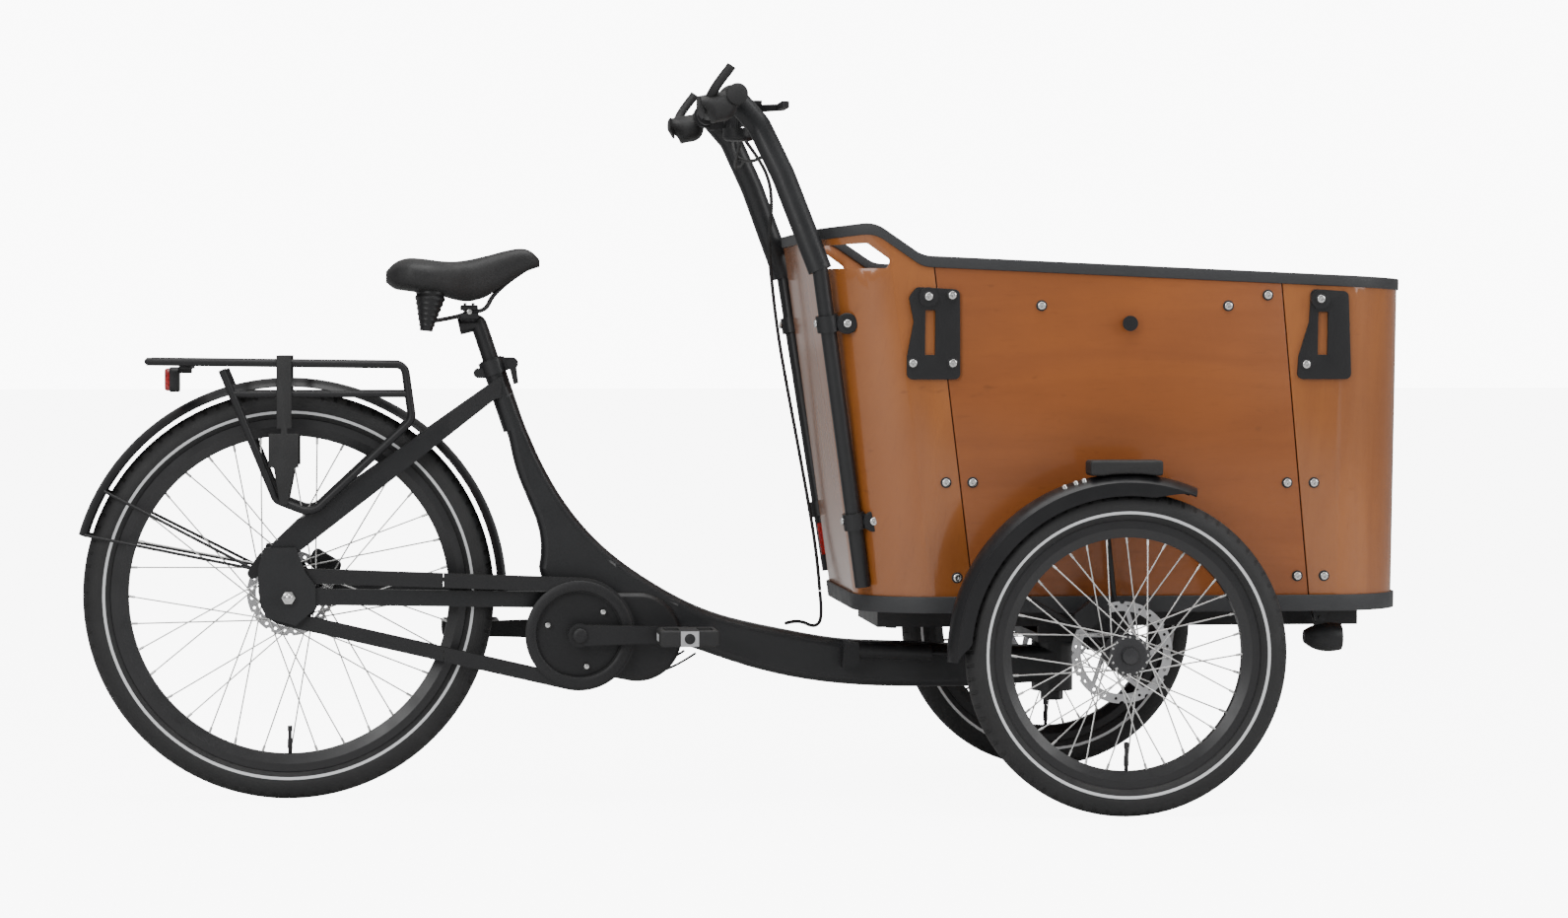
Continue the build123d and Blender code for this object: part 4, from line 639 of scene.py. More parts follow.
def turned(name: str, profile: Sequence[Pair], origin: Point, axis: Point, steps: int = 48) -> Piece:
    """Turns a profile round an axis, as on a lathe.

    Args:
        name: the piece's name.
        profile: pairs of place along the axis and radius.
        origin: the point on the axis that places are measured from.
        axis: the axis's direction.
        steps: how many steps make one turn.

    Returns:
        The piece.
    """
    line = Vector(axis).normalized()
    out = line.orthogonal().normalized()
    bpy.ops.mesh.primitive_plane_add(size=1)
    piece = bpy.context.object
    piece.name = name
    points = [Vector(origin) + line * along + out * radius for along, radius in profile]
    piece.data.clear_geometry()
    piece.data.from_pydata(points, [(k, k + 1) for k in range(len(points) - 1)], [])
    with editing(piece, "VERT"):
        bpy.ops.mesh.select_all(action="SELECT")
        bpy.ops.mesh.spin(steps=steps, angle=math.tau, center=origin, axis=line)
        bpy.ops.mesh.select_all(action="SELECT")
        bpy.ops.mesh.remove_doubles(threshold=0.00002)
        bpy.ops.mesh.normals_make_consistent(inside=False)
    only(piece)
    bpy.ops.object.shade_smooth_by_angle(angle=math.radians(38))
    return piece


def copied(piece: Piece, name: str, shift: Point, turn: float = 0.0, about: Point = (0, 0, 1)) -> Piece:
    """Copies a piece with its own mesh.

    Args:
        piece: the piece to copy.
        name: the copy's name.
        shift: how far it is moved after its turn.
        turn: how far it turns about an axis through the origin, in radians.
        about: that axis.

    Returns:
        The copy.
    """
    only(piece)
    bpy.ops.object.duplicate(linked=False)
    twin = bpy.context.object
    twin.name = name
    twin.rotation_mode = "AXIS_ANGLE"
    twin.rotation_axis_angle = (turn, *about)
    twin.location = shift
    settle(twin)
    twin.rotation_mode = "XYZ"
    return twin


def softened(piece: Piece, levels: int) -> Piece:
    """Rounds the whole piece by subdividing it and shades it smooth."""
    only(piece)
    smooth = piece.modifiers.new("smooth", "SUBSURF")
    smooth.levels = levels
    smooth.render_levels = levels
    bpy.ops.object.modifier_apply(modifier=smooth.name)
    bpy.ops.object.shade_smooth()
    return piece


def joined(name: str, pieces: Sequence[Piece]) -> Piece:
    """Joins pieces that move together into one."""
    only(pieces[0])
    for piece in pieces[1:]:
        piece.select_set(True)
    bpy.ops.object.join()
    bpy.context.object.name = name
    return bpy.context.object


def smooth_path(name: str, points: Sequence[Point], radius: float) -> Piece:
    """Makes a round cable along a smooth line through loose control points."""
    curve = bpy.data.curves.new(name, "CURVE")
    curve.dimensions = "3D"
    line = curve.splines.new("NURBS")
    line.points.add(len(points) - 1)
    for place, point in zip(line.points, points):
        place.co = (*point, 1.0)
    line.order_u = 3
    line.use_endpoint_u = True
    curve.resolution_u = 10
    curve.bevel_depth = radius
    curve.bevel_resolution = 4
    curve.use_fill_caps = True
    piece = bpy.data.objects.new(name, curve)
    bpy.context.collection.objects.link(piece)
    only(piece)
    bpy.ops.object.convert(target="MESH")
    piece = bpy.context.object
    bpy.ops.object.shade_smooth_by_angle(angle=math.radians(60))
    return piece


class Shop:
    """The workshop: it holds the CAD frame and the finishes, and hangs each piece where it belongs."""

    def __init__(self, frame: dict) -> None:
        """Takes the loaded CAD frame and builds the shared effects."""
        self.nodes = frame["nodes"]
        self.effects = Effects()
        self.made: dict[str, Material] = {}
        self.count = 0

    def material(self, finish: Finish) -> Material:
        """The finish's material, built once."""
        if finish.name not in self.made:
            self.made[finish.name] = finish.build(self.effects)
        return self.made[finish.name]

    def dress(self, finish: Finish, *names: str) -> None:
        """Gives CAD nodes a finish."""
        for name in names:
            for place in self.nodes[name].material_slots:
                place.material = self.material(finish)
            log.info("dressed %s in %s", name, finish.name)

    def hang(self, piece: Piece, finish: Finish, body: Body, *instead_of: str) -> Piece:
        """Paints a piece, hangs it on its body and hides the CAD nodes that it stands for.

        Args:
            piece: the piece.
            finish: its finish.
            body: the body that it moves with.
            instead_of: the CAD nodes that it replaces.

        Returns:
            The piece.
        """
        self.paint(piece, finish)
        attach(piece, body.value)
        if instead_of:
            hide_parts(*instead_of)
        log.info("made %s on %s", piece.name, body.value)
        return piece

    def paint(self, piece: Piece, finish: Finish) -> None:
        """Gives a piece its finish and counts it."""
        piece.data.materials.clear()
        piece.data.materials.append(self.material(finish))
        self.count += 1

    def refined(self, node: str, finish: Finish, body: Body, width: float, segments: int = 3) -> Piece:
        """Copies a CAD node, rounds its edges and puts the copy in its place.

        Args:
            node: the CAD node.
            finish: the copy's finish.
            body: the body that it moves with.
            width: how wide its rounded edges are.
            segments: how many steps round each edge.

        Returns:
            The copy.
        """
        source = self.nodes[node]
        piece = bpy.data.objects.new(f"{node}_shell", source.data.copy())
        bpy.context.collection.objects.link(piece)
        with editing(piece, "VERT"):
            bpy.ops.mesh.select_all(action="SELECT")
            bpy.ops.mesh.remove_doubles(threshold=0.00003)
            bpy.ops.mesh.dissolve_limited(angle_limit=math.radians(0.6), delimit={"NORMAL"})
        only(piece)
        if piece.data.has_custom_normals:
            bpy.ops.mesh.customdata_custom_splitnormals_clear()
        round_over(piece, width, segments)
        return self.hang(piece, finish, body, node)


# ---------------------------------------------------------------- finishes of this bicycle

FRAME_PAINT = Finish(
    "satin_frame_paint", "frame_paint", (0.0105, 0.0108, 0.012), 0.42, grain_depth=0.00003, coat=0.10,
    specular=0.35,
)
BAR_PAINT = Finish("bar_paint", "bar_black", (0.009, 0.009, 0.010), 0.45, grain_depth=0.00003, specular=0.35)
MOULDED = Finish(
    "moulded_plastic", "black_plastic", (0.010, 0.010, 0.011), 0.48, grain_depth=0.00006, specular=0.35
)
GUARD = Finish(
    "mudguard_plastic", "black_plastic", (0.008, 0.008, 0.009), 0.36, grain_depth=0.00001, dust=0.05,
    specular=0.35,
)
TRIM = Finish("edge_trim", "black_plastic", (0.024, 0.025, 0.027), 0.55, grain_depth=0.00005)
SOFT_RUBBER = Finish(
    "soft_rubber", "black_rubber", (0.008, 0.008, 0.0085), 0.66, grain_scale=500.0, grain_depth=0.00008
)
RIM_BLACK = Finish("anodised_rim", "rim_black", (0.009, 0.009, 0.010), 0.36, grain_depth=0.00001)
STEEL = Finish(
    "bright_steel", "bright_steel", (0.62, 0.62, 0.61), 0.24, metallic=1.0, grain_depth=0.00001, dust=0.03
)
CHAIN_STEEL = Finish("chain_steel", "bright_steel", (0.20, 0.19, 0.18), 0.38, metallic=1.0, dust=0.10)
PLY_PANEL = Plywood(
    "bent_plywood", "plywood", (0.325, 0.104, 0.020), 0.46, dark=(0.272, 0.083, 0.015), specular=0.3, coat=0.9
)
PLY_SIDE = Plywood(
    "side_plywood", "plywood", (0.275, 0.080, 0.015), 0.48, dark=(0.236, 0.066, 0.012), lying=True,
    specular=0.3, coat=0.35,
)
PLY_FLOOR = Plywood(
    "floor_plywood", "plywood", (0.300, 0.100, 0.026), 0.5, dark=(0.20, 0.06, 0.015), lying=True
)
RED = RedLens("red_lens", "red_lens", (0.50, 0.008, 0.010), 0.12, coat=0.5)
SKIN = SaddleSkin("saddle_skin", "saddle_cover", (0.013, 0.013, 0.0135), 0.52, specular=0.35)
SADDLE_BLACK = Finish("saddle_black", "saddle_black", (0.009, 0.009, 0.010), 0.42, specular=0.35)
GLASS = LampGlass("lamp_lens", "", (0.88, 0.90, 0.92), 0.08)
REFLECTIVE = Finish("reflective_band", "tyre_rubber", (0.60, 0.61, 0.62), 0.45, patches=0.06)
SILVER = Finish("silver_plastic", "hub_alloy", (0.48, 0.48, 0.49), 0.34, metallic=0.6)


# ---------------------------------------------------------------- studio


@dataclass
class Studio:
    """The camera, the pale floor and the soft lights."""

    eye: Point = (-0.582, -6.604, 0.735)
    yaw: float = 0.09937
    pitch: float = 0.0283
    lens: float = 93.24
    sensor: float = 36.0
    far: float = 200.0
    floor: float = 120.0
    floor_glow: float = 8.0
    backdrop: float = 10.0
    fill: float = 0.42

    def build(self) -> None:
        """Sets up all of it."""
        self.camera()
        self.ground()
        self.lights()

    def camera(self) -> None:
        """Places the camera low beside the bicycle, turned a little forward."""
        data = bpy.data.cameras.new("camera")
        data.lens = self.lens
        data.sensor_width = self.sensor
        data.clip_end = self.far
        camera = bpy.data.objects.new("camera", data)
        bpy.context.collection.objects.link(camera)
        camera.location = self.eye
        camera.rotation_euler = (math.pi / 2 - self.pitch, 0.0, -self.yaw)
        bpy.context.scene.camera = camera

    def ground(self) -> None:
        """Lays the pale floor."""
        bpy.ops.object.select_all(action="DESELECT")
        bpy.ops.mesh.primitive_plane_add(size=self.floor, location=(0, 0, 0))
        floor = bpy.context.object
        floor.name = "floor"
        material = bpy.data.materials.new("floor")
        material.use_nodes = True
        shader = material.node_tree.nodes["Principled BSDF"]
        shader.inputs["Base Color"].default_value = (0.70, 0.70, 0.70, 1)
        shader.inputs["Emission Color"].default_value = (1, 1, 1, 1)
        seen = material.node_tree.nodes.new("ShaderNodeLightPath")
        glow = material.node_tree.nodes.new("ShaderNodeMath")
        glow.operation = "MULTIPLY"
        glow.inputs[1].default_value = self.floor_glow
        material.node_tree.links.new(seen.outputs["Is Camera Ray"], glow.inputs[0])
        material.node_tree.links.new(glow.outputs[0], shader.inputs["Emission Strength"])
        shader.inputs["Roughness"].default_value = 0.8
        shader.inputs["Specular IOR Level"].default_value = 0.15
        floor.data.materials.append(material)

    def lights(self) -> None:
        """Hangs three soft lights and fills the rest with a pale sky."""
        world = bpy.data.worlds.new("studio")
        bpy.context.scene.world = world
        world.use_nodes = True
        sheet = Sheet(world.node_tree)
        seen = sheet.add("ShaderNodeLightPath").outputs["Is Camera Ray"]
        level = sheet.ramp(seen, 0.0, 1.0, self.fill, self.backdrop)
        sky = sheet.add("ShaderNodeBackground", Color=(1.0, 1.0, 1.0, 1.0), Strength=level)
        out = sheet.add("ShaderNodeOutputWorld")
        sheet.join(sky.outputs[0], out, "Surface")
        self.panel("overhead", (0.2, -0.6, 3.6), (0.0, 0.0, 0.4), 3.4, 150.0)
        self.panel("side", (-2.8, -4.2, 2.4), (0.1, 0.0, 0.5), 2.2, 110.0)
        self.panel("front", (3.6, -2.4, 1.8), (0.4, 0.0, 0.5), 2.0, 60.0)

    @staticmethod
    def panel(name: str, place: Point, target: Point, size: float, power: float) -> None:
        """Hangs one square light, facing a point."""
        data = bpy.data.lights.new(name, "AREA")
        data.size = size
        data.energy = power
        lamp = bpy.data.objects.new(name, data)
        bpy.context.collection.objects.link(lamp)
        lamp.location = place
        lamp.rotation_euler = (Vector(target) - Vector(place)).to_track_quat("-Z", "Y").to_euler()


# ---------------------------------------------------------------- wheels


@dataclass
class Wheel:
    """One wheel: its tyre, rim, spokes and hub are CAD, and its valve and reflective band are added."""

    name: str
    body: Body
    axle: Point
    tyre_radius: float
    rim_inner: float
    band_radius: float
    disc_y: float
    half_width: float = 0.025
    band_half: float = 0.0022
    band_sunk: float = 0.0008
    band_proud: float = 0.0004
    flange_y: float = 0.0306
    head_ring: float = 0.0285
    heads: int = 16
    blocks_per_metre: float = 290.0

    def build(self, shop: Shop) -> None:
        """Dresses the CAD pieces and adds the rest."""
        rubber = TyreRubber(
            f"tyre_{self.name}", "tyre_rubber", (0.0085, 0.0085, 0.009), 0.66, grain_depth=0.0001, dust=0.10,
            axle_x=self.axle[0], axle_y=self.axle[1], radius=self.tyre_radius,
            blocks=int(self.tyre_radius * self.blocks_per_metre),
        )
        hub = HubMetal(
            f"hub_{self.name}", "hub_alloy", (0.020, 0.020, 0.022), 0.36,
            disc_y=self.disc_y, axle_x=self.axle[0], axle_z=self.axle[2],
        )
        for finish, kind in ((rubber, "tyre"), (RIM_BLACK, "rim"), (STEEL, "spokes"), (hub, "hub")):
            shop.dress(finish, self.node(kind))
        shop.hang(self.valve(), SOFT_RUBBER, self.body)
        for side in Side:
            shop.hang(self.band(side), REFLECTIVE, self.body)
        if self.heads:
            shop.hang(self.spoke_heads(), STEEL, self.body)

    def node(self, kind: str) -> str:
        """The CAD node of that kind, such as front_tyre_left on the wheel front_left."""
        place, _, hand = self.name.partition("_")
        return "_".join(filter(None, (place, kind, hand)))

    def spoke_heads(self) -> Piece:
        """The bright spoke heads round the outer face of both flanges."""
        x, y, z = self.axle
        heads: list[Piece] = []
        for side in Side:
            for turn in range(self.heads):
                angle = 2 * math.pi * (turn + 0.5 * (side is Side.LEFT)) / self.heads
                run, rise = self.head_ring * math.cos(angle), self.head_ring * math.sin(angle)
                place = (x + run, y + side.value * self.flange_y, z + rise)
                heads.append(rod("head", place, (0, 1, 0), 0.0019, 0.0016, 10))
        return round_over(joined(f"spoke_heads_{self.name}", heads), 0.0004, 1)

    def valve(self) -> Piece:
        """The valve, pointing at the hub from the lowest part of the rim."""
        x, y, z = self.axle
        root = (x, y, z - self.rim_inner)
        profile = [
            (-0.004, 0.0), (-0.004, 0.0035), (0.012, 0.003), (0.014, 0.0042), (0.028, 0.004), (0.031, 0.0028),
            (0.032, 0.0),
        ]
        return turned(f"valve_{self.name}", profile, root, (0, 0, 1), 18)

    def band(self, side: Side) -> Piece:
        """The thin reflective ring on one wall of the tyre."""
        x, y, z = self.axle
        inner, outer = self.band_radius - self.band_half, self.band_radius + self.band_half
        tube = self.half_width
        middle = self.tyre_radius - tube
        depth = [math.sqrt(max(0.0, tube**2 - (r - middle) ** 2)) for r in (inner, outer)]
        low, high = -self.band_sunk, self.band_proud
        profile = [(depth[0] + low, inner), (depth[0] + high, inner), (depth[1] + high, outer)]
        profile += [(depth[1] + low, outer), profile[0]]
        return turned(f"band_{self.name}_{side.word}", profile, (x, y, z), (0, side.value, 0), 128)


# ---------------------------------------------------------------- cargo box


@dataclass
class Screw:
    """A domed screw head with a hexagon socket."""

    radius: float = 0.0062
    height: float = 0.0030
    socket: float = 0.0022
    shoulder: float = 0.35
    dome: float = 0.14
    socket_depth: float = 0.7

    def build(self, name: str) -> Piece:
        """Models the head at the origin, facing -Y."""
        head = rod(name, (0, -self.height / 2, 0), (0, -1, 0), self.radius, self.height, 24)
        with editing(head):
            pick(head, lambda middle, normal: normal.y < -FACING)
            bpy.ops.mesh.inset(thickness=self.radius * self.shoulder)
            bpy.ops.transform.translate(value=(0, -self.radius * self.dome, 0))
            bpy.ops.mesh.inset(thickness=self.radius * (1 - self.shoulder) - self.socket)
            bpy.ops.mesh.inset(thickness=0.0001)
            bpy.ops.transform.translate(value=(0, self.height * self.socket_depth, 0))
        return round_over(head, 0.0004, 2, 30)


@dataclass
class CargoBox:
    """The plywood box on the front carriage, with its trim, brackets, screws and studs."""

    base_half: float = 0.285
    top_half: float = 0.325
    base: float = 0.318
    top: float = 0.94
    plain: tuple[Pair, ...] = (
        (0.302, 0.518), (0.344, 0.518), (0.846, 0.516), (0.889, 0.516), (0.865, 0.368),
        (0.908, 0.368), (0.321, 0.368), (0.450, 0.795), (0.747, 0.795), (0.810, 0.812),
    )
    on_brackets: tuple[Pair, ...] = ((0.308, 0.811), (0.247, 0.705), (0.310, 0.705), (0.872, 0.703))
    on_bosses: tuple[Pair, ...] = ((0.270, 0.809), (0.892, 0.806))
    front_heights: tuple[float, ...] = (0.808, 0.745, 0.640, 0.420)
    front_x: float = 1.043
    front_y: float = 0.12
    bracket_proud: float = 0.006
    boss_proud: float = 0.013
    ply: float = 0.009
    strip_width: float = 0.012
    strip_depth: float = 0.0018
    seams: tuple[tuple[Pair, Pair], ...] = (
        ((0.3483, 0.331), (0.2788, 0.866)), ((0.8846, 0.331), (0.8310, 0.842)),
    )

    def build(self, shop: Shop) -> None:
        """Dresses the panels and adds the fixings."""
        shop.refined("box_rear_panel", PLY_PANEL, Body.CARRIAGE, 0.0009, 2)
        shop.refined("box_front_panel", PLY_PANEL, Body.CARRIAGE, 0.0009, 2)
        for side in Side:
            shop.refined(f"box_side_{side.word}", PLY_SIDE, Body.CARRIAGE, 0.0009, 2)
        shop.dress(PLY_FLOOR, "box_floor")
        shop.refined("rim_trim", TRIM, Body.CARRIAGE, 0.0022)
        shop.refined("bottom_belt", TRIM, Body.CARRIAGE, 0.0015)
        shop.refined("cover_brackets", MOULDED, Body.CARRIAGE, 0.0012)
        shop.dress(MOULDED, "cover_studs")
        shop.hang(self.screws(), STEEL, Body.CARRIAGE, "box_screws")
        shop.hang(self.washers(), MOULDED, Body.CARRIAGE)
        shop.hang(self.seam_strips(), TRIM, Body.CARRIAGE)

    def wall(self, z: float) -> float:
        """How far the side wall's face stands from the centre plane at a height."""
        return self.base_half + (self.top_half - self.base_half) * (z - self.base) / (self.top - self.base)

    def seam_strips(self) -> Piece:
        """The dark strips inside the walls that close the seams between the panels."""
        strips: list[Piece] = []
        for side in Side:
            for (foot_x, foot_z), (top_x, top_z) in self.seams:
                strip = block("strip", (0, 0, 0), (self.strip_width, self.strip_depth, 1.0))
                for point in strip.data.vertices:
                    up = point.co.z + 0.5
                    x, z = foot_x + (top_x - foot_x) * up, foot_z + (top_z - foot_z) * up
                    y = side.value * (self.wall(z) - self.ply - self.strip_depth / 2)
                    point.co = (point.co.x + x, point.co.y + y, z)
                strips.append(round_over(strip, 0.0004, 2))
        return joined("seam_strips", strips)

    def rows(self) -> list[tuple[float, float, float]]:
        """Each side screw's place along and up the wall, and how far it stands off it."""
        rows = [(x, z, 0.0) for x, z in self.plain]
        rows += [(x, z, self.bracket_proud) for x, z in self.on_brackets]
        return rows + [(x, z, self.boss_proud) for x, z in self.on_bosses]

    def spread(self, model: Piece, name: str, proud: float = 0.0) -> Piece:
        """Copies a model that faces -Y to every screw's place.

        Args:
            model: the shape at the origin, which is used up.
            name: what the result is called.
            proud: how far each copy stands off its wall.

        Returns:
            The copies as one piece.
        """
        lean = math.atan2(self.top_half - self.base_half, self.top - self.base)
        across = copied(model, "across", (0, 0, 0), math.pi / 2, (0, 0, 1))
        opposite = copied(model, "opposite", (0, 0, 0), math.pi, (0, 0, 1))
        copies: list[Piece] = []
        for side, source in ((Side.RIGHT, model), (Side.LEFT, opposite)):
            for x, z, stand in self.rows():
                y = side.value * (self.wall(z) + stand + proud)
                copies.append(copied(source, "screw", (x, y, z), side.value * -lean, (1, 0, 0)))
        for z in self.front_heights:
            for side in Side:
                place = (self.front_x + proud, side.value * self.front_y, z)
                copies.append(copied(across, "screw", place))
        for spare in (model, across, opposite):
            bpy.data.objects.remove(spare)
        return joined(name, copies)

    def screws(self) -> Piece:
        """Every screw head on the box, all from one model."""
        return self.spread(Screw().build("screw_model"), "screw_heads", 0.0008)

    def washers(self) -> Piece:
        """The thin black washer under every screw head."""
        profile = [(-0.001, 0.0), (-0.001, 0.0086), (0.0007, 0.0086), (0.0012, 0.0078), (0.0012, 0.0)]
        return self.spread(turned("washer_model", profile, (0, 0, 0), (0, -1, 0), 28), "screw_washers")


# ---------------------------------------------------------------- handlebar


@dataclass
class Handlebar:
    """The bar, its arms and posts, with ribbed grips, levers, bell and cables."""

    bar_x: float = -0.032
    bar_z: float = 1.120
    grip_inner: float = 0.262
    grip_outer: float = 0.370
    grip_radius: float = 0.0165
    ribs: int = 14
    horn_radius: float = 0.0076
    post_low: Point = (0.178, 0.238, 0.352)
    post_high: Point = (0.103, 0.287, 0.862)
    clamp_heights: tuple[float, ...] = (0.767, 0.456)
    clamp_radius: float = 0.0172
    lug: float = 0.030
    lug_face: float = 0.0090
    boss_face: float = 0.0042

    def build(self, shop: Shop) -> None:
        """Dresses the metalwork and adds the grips and cables."""
        shop.dress(FRAME_PAINT, "handlebar_posts", "handlebar_arms")
        shop.dress(BAR_PAINT, "handlebar")
        shop.dress(MOULDED, "brake_lever_left", "brake_lever_right", "bell")
        shop.hang(self.grips(), SOFT_RUBBER, Body.CARRIAGE, "grips")
        for side in Side:
            shop.hang(self.lever_cable(side), SOFT_RUBBER, Body.CARRIAGE)
        shop.hang(self.bell_dome(), MOULDED, Body.CARRIAGE)
        shop.hang(self.clamp_screws(), STEEL, Body.CARRIAGE)
        shop.hang(self.clamp_rounds(), MOULDED, Body.CARRIAGE)
        shop.hang(self.post_cable(), SOFT_RUBBER, Body.CARRIAGE, "control_cable")
        self.carriage_loop(shop)

    def grips(self) -> Piece:
        """Both grips: a ribbed sleeve, a palm wing behind it and a short horn at its end."""
        parts: list[Piece] = []
        for side in Side:
            parts += [self.sleeve(side), self.wing(side), self.horn(side)]
        return joined("grips_shell", parts)

    def sleeve(self, side: Side) -> Piece:
        """The ribbed sleeve round the bar."""
        length = self.grip_outer - self.grip_inner
        flange, crest, valley = self.grip_radius + 0.002, self.grip_radius, self.grip_radius - 0.0012
        profile = [(0.0, 0.0112), (0.0, flange), (0.004, flange)]
        for rib in range(self.ribs):
            level = 0.007 + rib * (length - 0.012) / self.ribs
            profile += [(level, valley), (level + 0.002, crest)]
            profile += [(level + 0.005, crest), (level + 0.006, valley)]
        profile += [(length - 0.002, crest), (length, crest - 0.003), (length, 0.0)]
        origin = (self.bar_x, side.value * self.grip_inner, self.bar_z)
        return turned("sleeve", profile, origin, (0, side.value, 0), 40)

    def horn(self, side: Side) -> Piece:
        """The short horn that rises from the wing's outer end."""
        y = side.value * self.grip_outer
        steps = (
            (-0.044, -0.012, -0.030), (-0.038, 0.002, -0.014), (-0.028, 0.018, -0.008),
            (-0.018, 0.031, -0.006), (-0.011, 0.040, -0.005), (-0.009, 0.043, -0.005),
        )
        points = [(self.bar_x + dx, y + side.value * dy, self.bar_z + dz) for dx, dz, dy in steps]
        return round_over(smooth_path("horn", points, self.horn_radius), 0.0045, 4, 60)

    def wing(self, side: Side) -> Piece:
        """The palm wing, drawn back from the bar."""
        middle = side.value * (self.grip_inner + self.grip_outer + 0.014) / 2
        width = self.grip_outer - self.grip_inner - 0.018
        piece = block("wing", (self.bar_x - 0.008, middle, self.bar_z - 0.010), (0.026, width, 0.036))
        with editing(piece):
            pick(piece, lambda at, normal: normal.x < -FACING)
            bpy.ops.mesh.extrude_region_move(TRANSFORM_OT_translate={"value": (-0.018, 0.0, -0.005)})
            bpy.ops.transform.resize(value=(1.0, 1.0, 1.05))
            bpy.ops.mesh.extrude_region_move(TRANSFORM_OT_translate={"value": (-0.018, 0.0, 0.003)})
            bpy.ops.transform.resize(value=(1.0, 0.92, 0.58))
            pick(piece, lambda at, normal: normal.z < -0.8 and at.x > self.bar_x - 0.040)
            bpy.ops.mesh.extrude_region_move(TRANSFORM_OT_translate={"value": (-0.004, 0.0, -0.013)})
            bpy.ops.transform.resize(value=(0.62, 0.8, 1.0))
        return softened(piece, 3)

    def lever_cable(self, side: Side) -> Piece:
        """The cable that leaves a brake lever, hangs behind the bar and enters the other arm."""
        y = side.value
        apart = 0.003 * y
        points = [
            (0.012, y * 0.188, 1.104), (apart, y * 0.140, 1.072), (-0.002 + apart, y * 0.060, 1.044),
            (0.004 + apart, -y * 0.060, 1.029), (0.014 + apart, -y * 0.150, 1.027),
            (0.026, -y * 0.215, 1.034), (0.032, -y * 0.252, 1.044),
        ]
        return smooth_path(f"lever_cable_{side.word}", points, 0.0028)

    def post_cable(self) -> Piece:
        """The cable from the bar down beside the left post to the turning carriage's foot."""
        points = [
            (0.022, 0.200, 1.088), (0.054, 0.205, 1.048), (0.074, 0.212, 1.008), (0.078, 0.222, 0.965),
            (0.075, 0.236, 0.925), (0.076, 0.246, 0.880), (0.081, 0.250, 0.835), (0.088, 0.250, 0.773),
            (0.099, 0.247, 0.700), (0.132, 0.236, 0.520), (0.154, 0.214, 0.382), (0.1564, 0.1955, 0.320),
        ]
        return smooth_path("post_cable", points, 0.0031)

    def clamp_places(self) -> list[Point]:
        """The left post's axis at the height of each clamp."""
        low, high = Vector(self.post_low), Vector(self.post_high)
        return [tuple(low + (high - low) * ((z - low.z) / (high.z - low.z))) for z in self.clamp_heights]

    def clamp_rounds(self) -> Piece:
        """The round bosses under the side screws of the post clamps."""
        rounds: list[Piece] = []
        face = self.boss_face
        profile = [(-0.002, 0.0), (-0.002, 0.0165), (0.0030, 0.0165), (face, 0.0150), (face, 0.0)]
        for x, y, z in self.clamp_places():
            for side in Side:
                origin = (x + self.lug, side.value * (y + self.lug_face), z)
                rounds.append(turned("round", profile, origin, (0, side.value, 0), 36))
        return joined("clamp_rounds", rounds)

    def clamp_screws(self) -> Piece:
        """The domed screws on the side and the back of each post clamp."""
        model = Screw().build("clamp_screw_model")
        heads: list[Piece] = []
        for x, y, z in self.clamp_places():
            for side in Side:
                turn = 0.0 if side is Side.RIGHT else math.pi
                outer = side.value * (y + self.lug_face + self.boss_face)
                heads.append(copied(model, "screw", (x + self.lug, outer, z), turn, (0, 0, 1)))
                behind = (x - self.clamp_radius, side.value * y, z)
                heads.append(copied(model, "screw", behind, -math.pi / 2, (0, 0, 1)))
        bpy.data.objects.remove(model)
        return joined("clamp_screws", heads)

    def bell_dome(self) -> Piece:
        """The bell's rounded cap."""
        lo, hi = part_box("bell")
        centre = ((lo.x + hi.x) / 2, (lo.y + hi.y) / 2, hi.z - 0.0002)
        profile = [
            (-0.004, 0.0), (-0.004, 0.0180), (0.0, 0.0176), (0.003, 0.0150), (0.0048, 0.0090), (0.0054, 0.0),
        ]
        return turned("bell_cap", profile, centre, (0, 0, 1), 40)

    def carriage_loop(self, shop: Shop) -> None:
        """The cable that passes from the main frame to the turning carriage, which bends between them."""
        points = [
            (0.1564, 0.195, 0.318), (0.160, 0.180, 0.275), (0.140, 0.120, 0.262), (0.104, 0.040, 0.282),
            (0.080, 0.006, 0.278),
        ]
        piece = smooth_path("steering_cable", points, 0.003)
        shop.paint(piece, SOFT_RUBBER)
        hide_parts("cable_loop")
        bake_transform(piece)


# ---------------------------------------------------------------- saddle


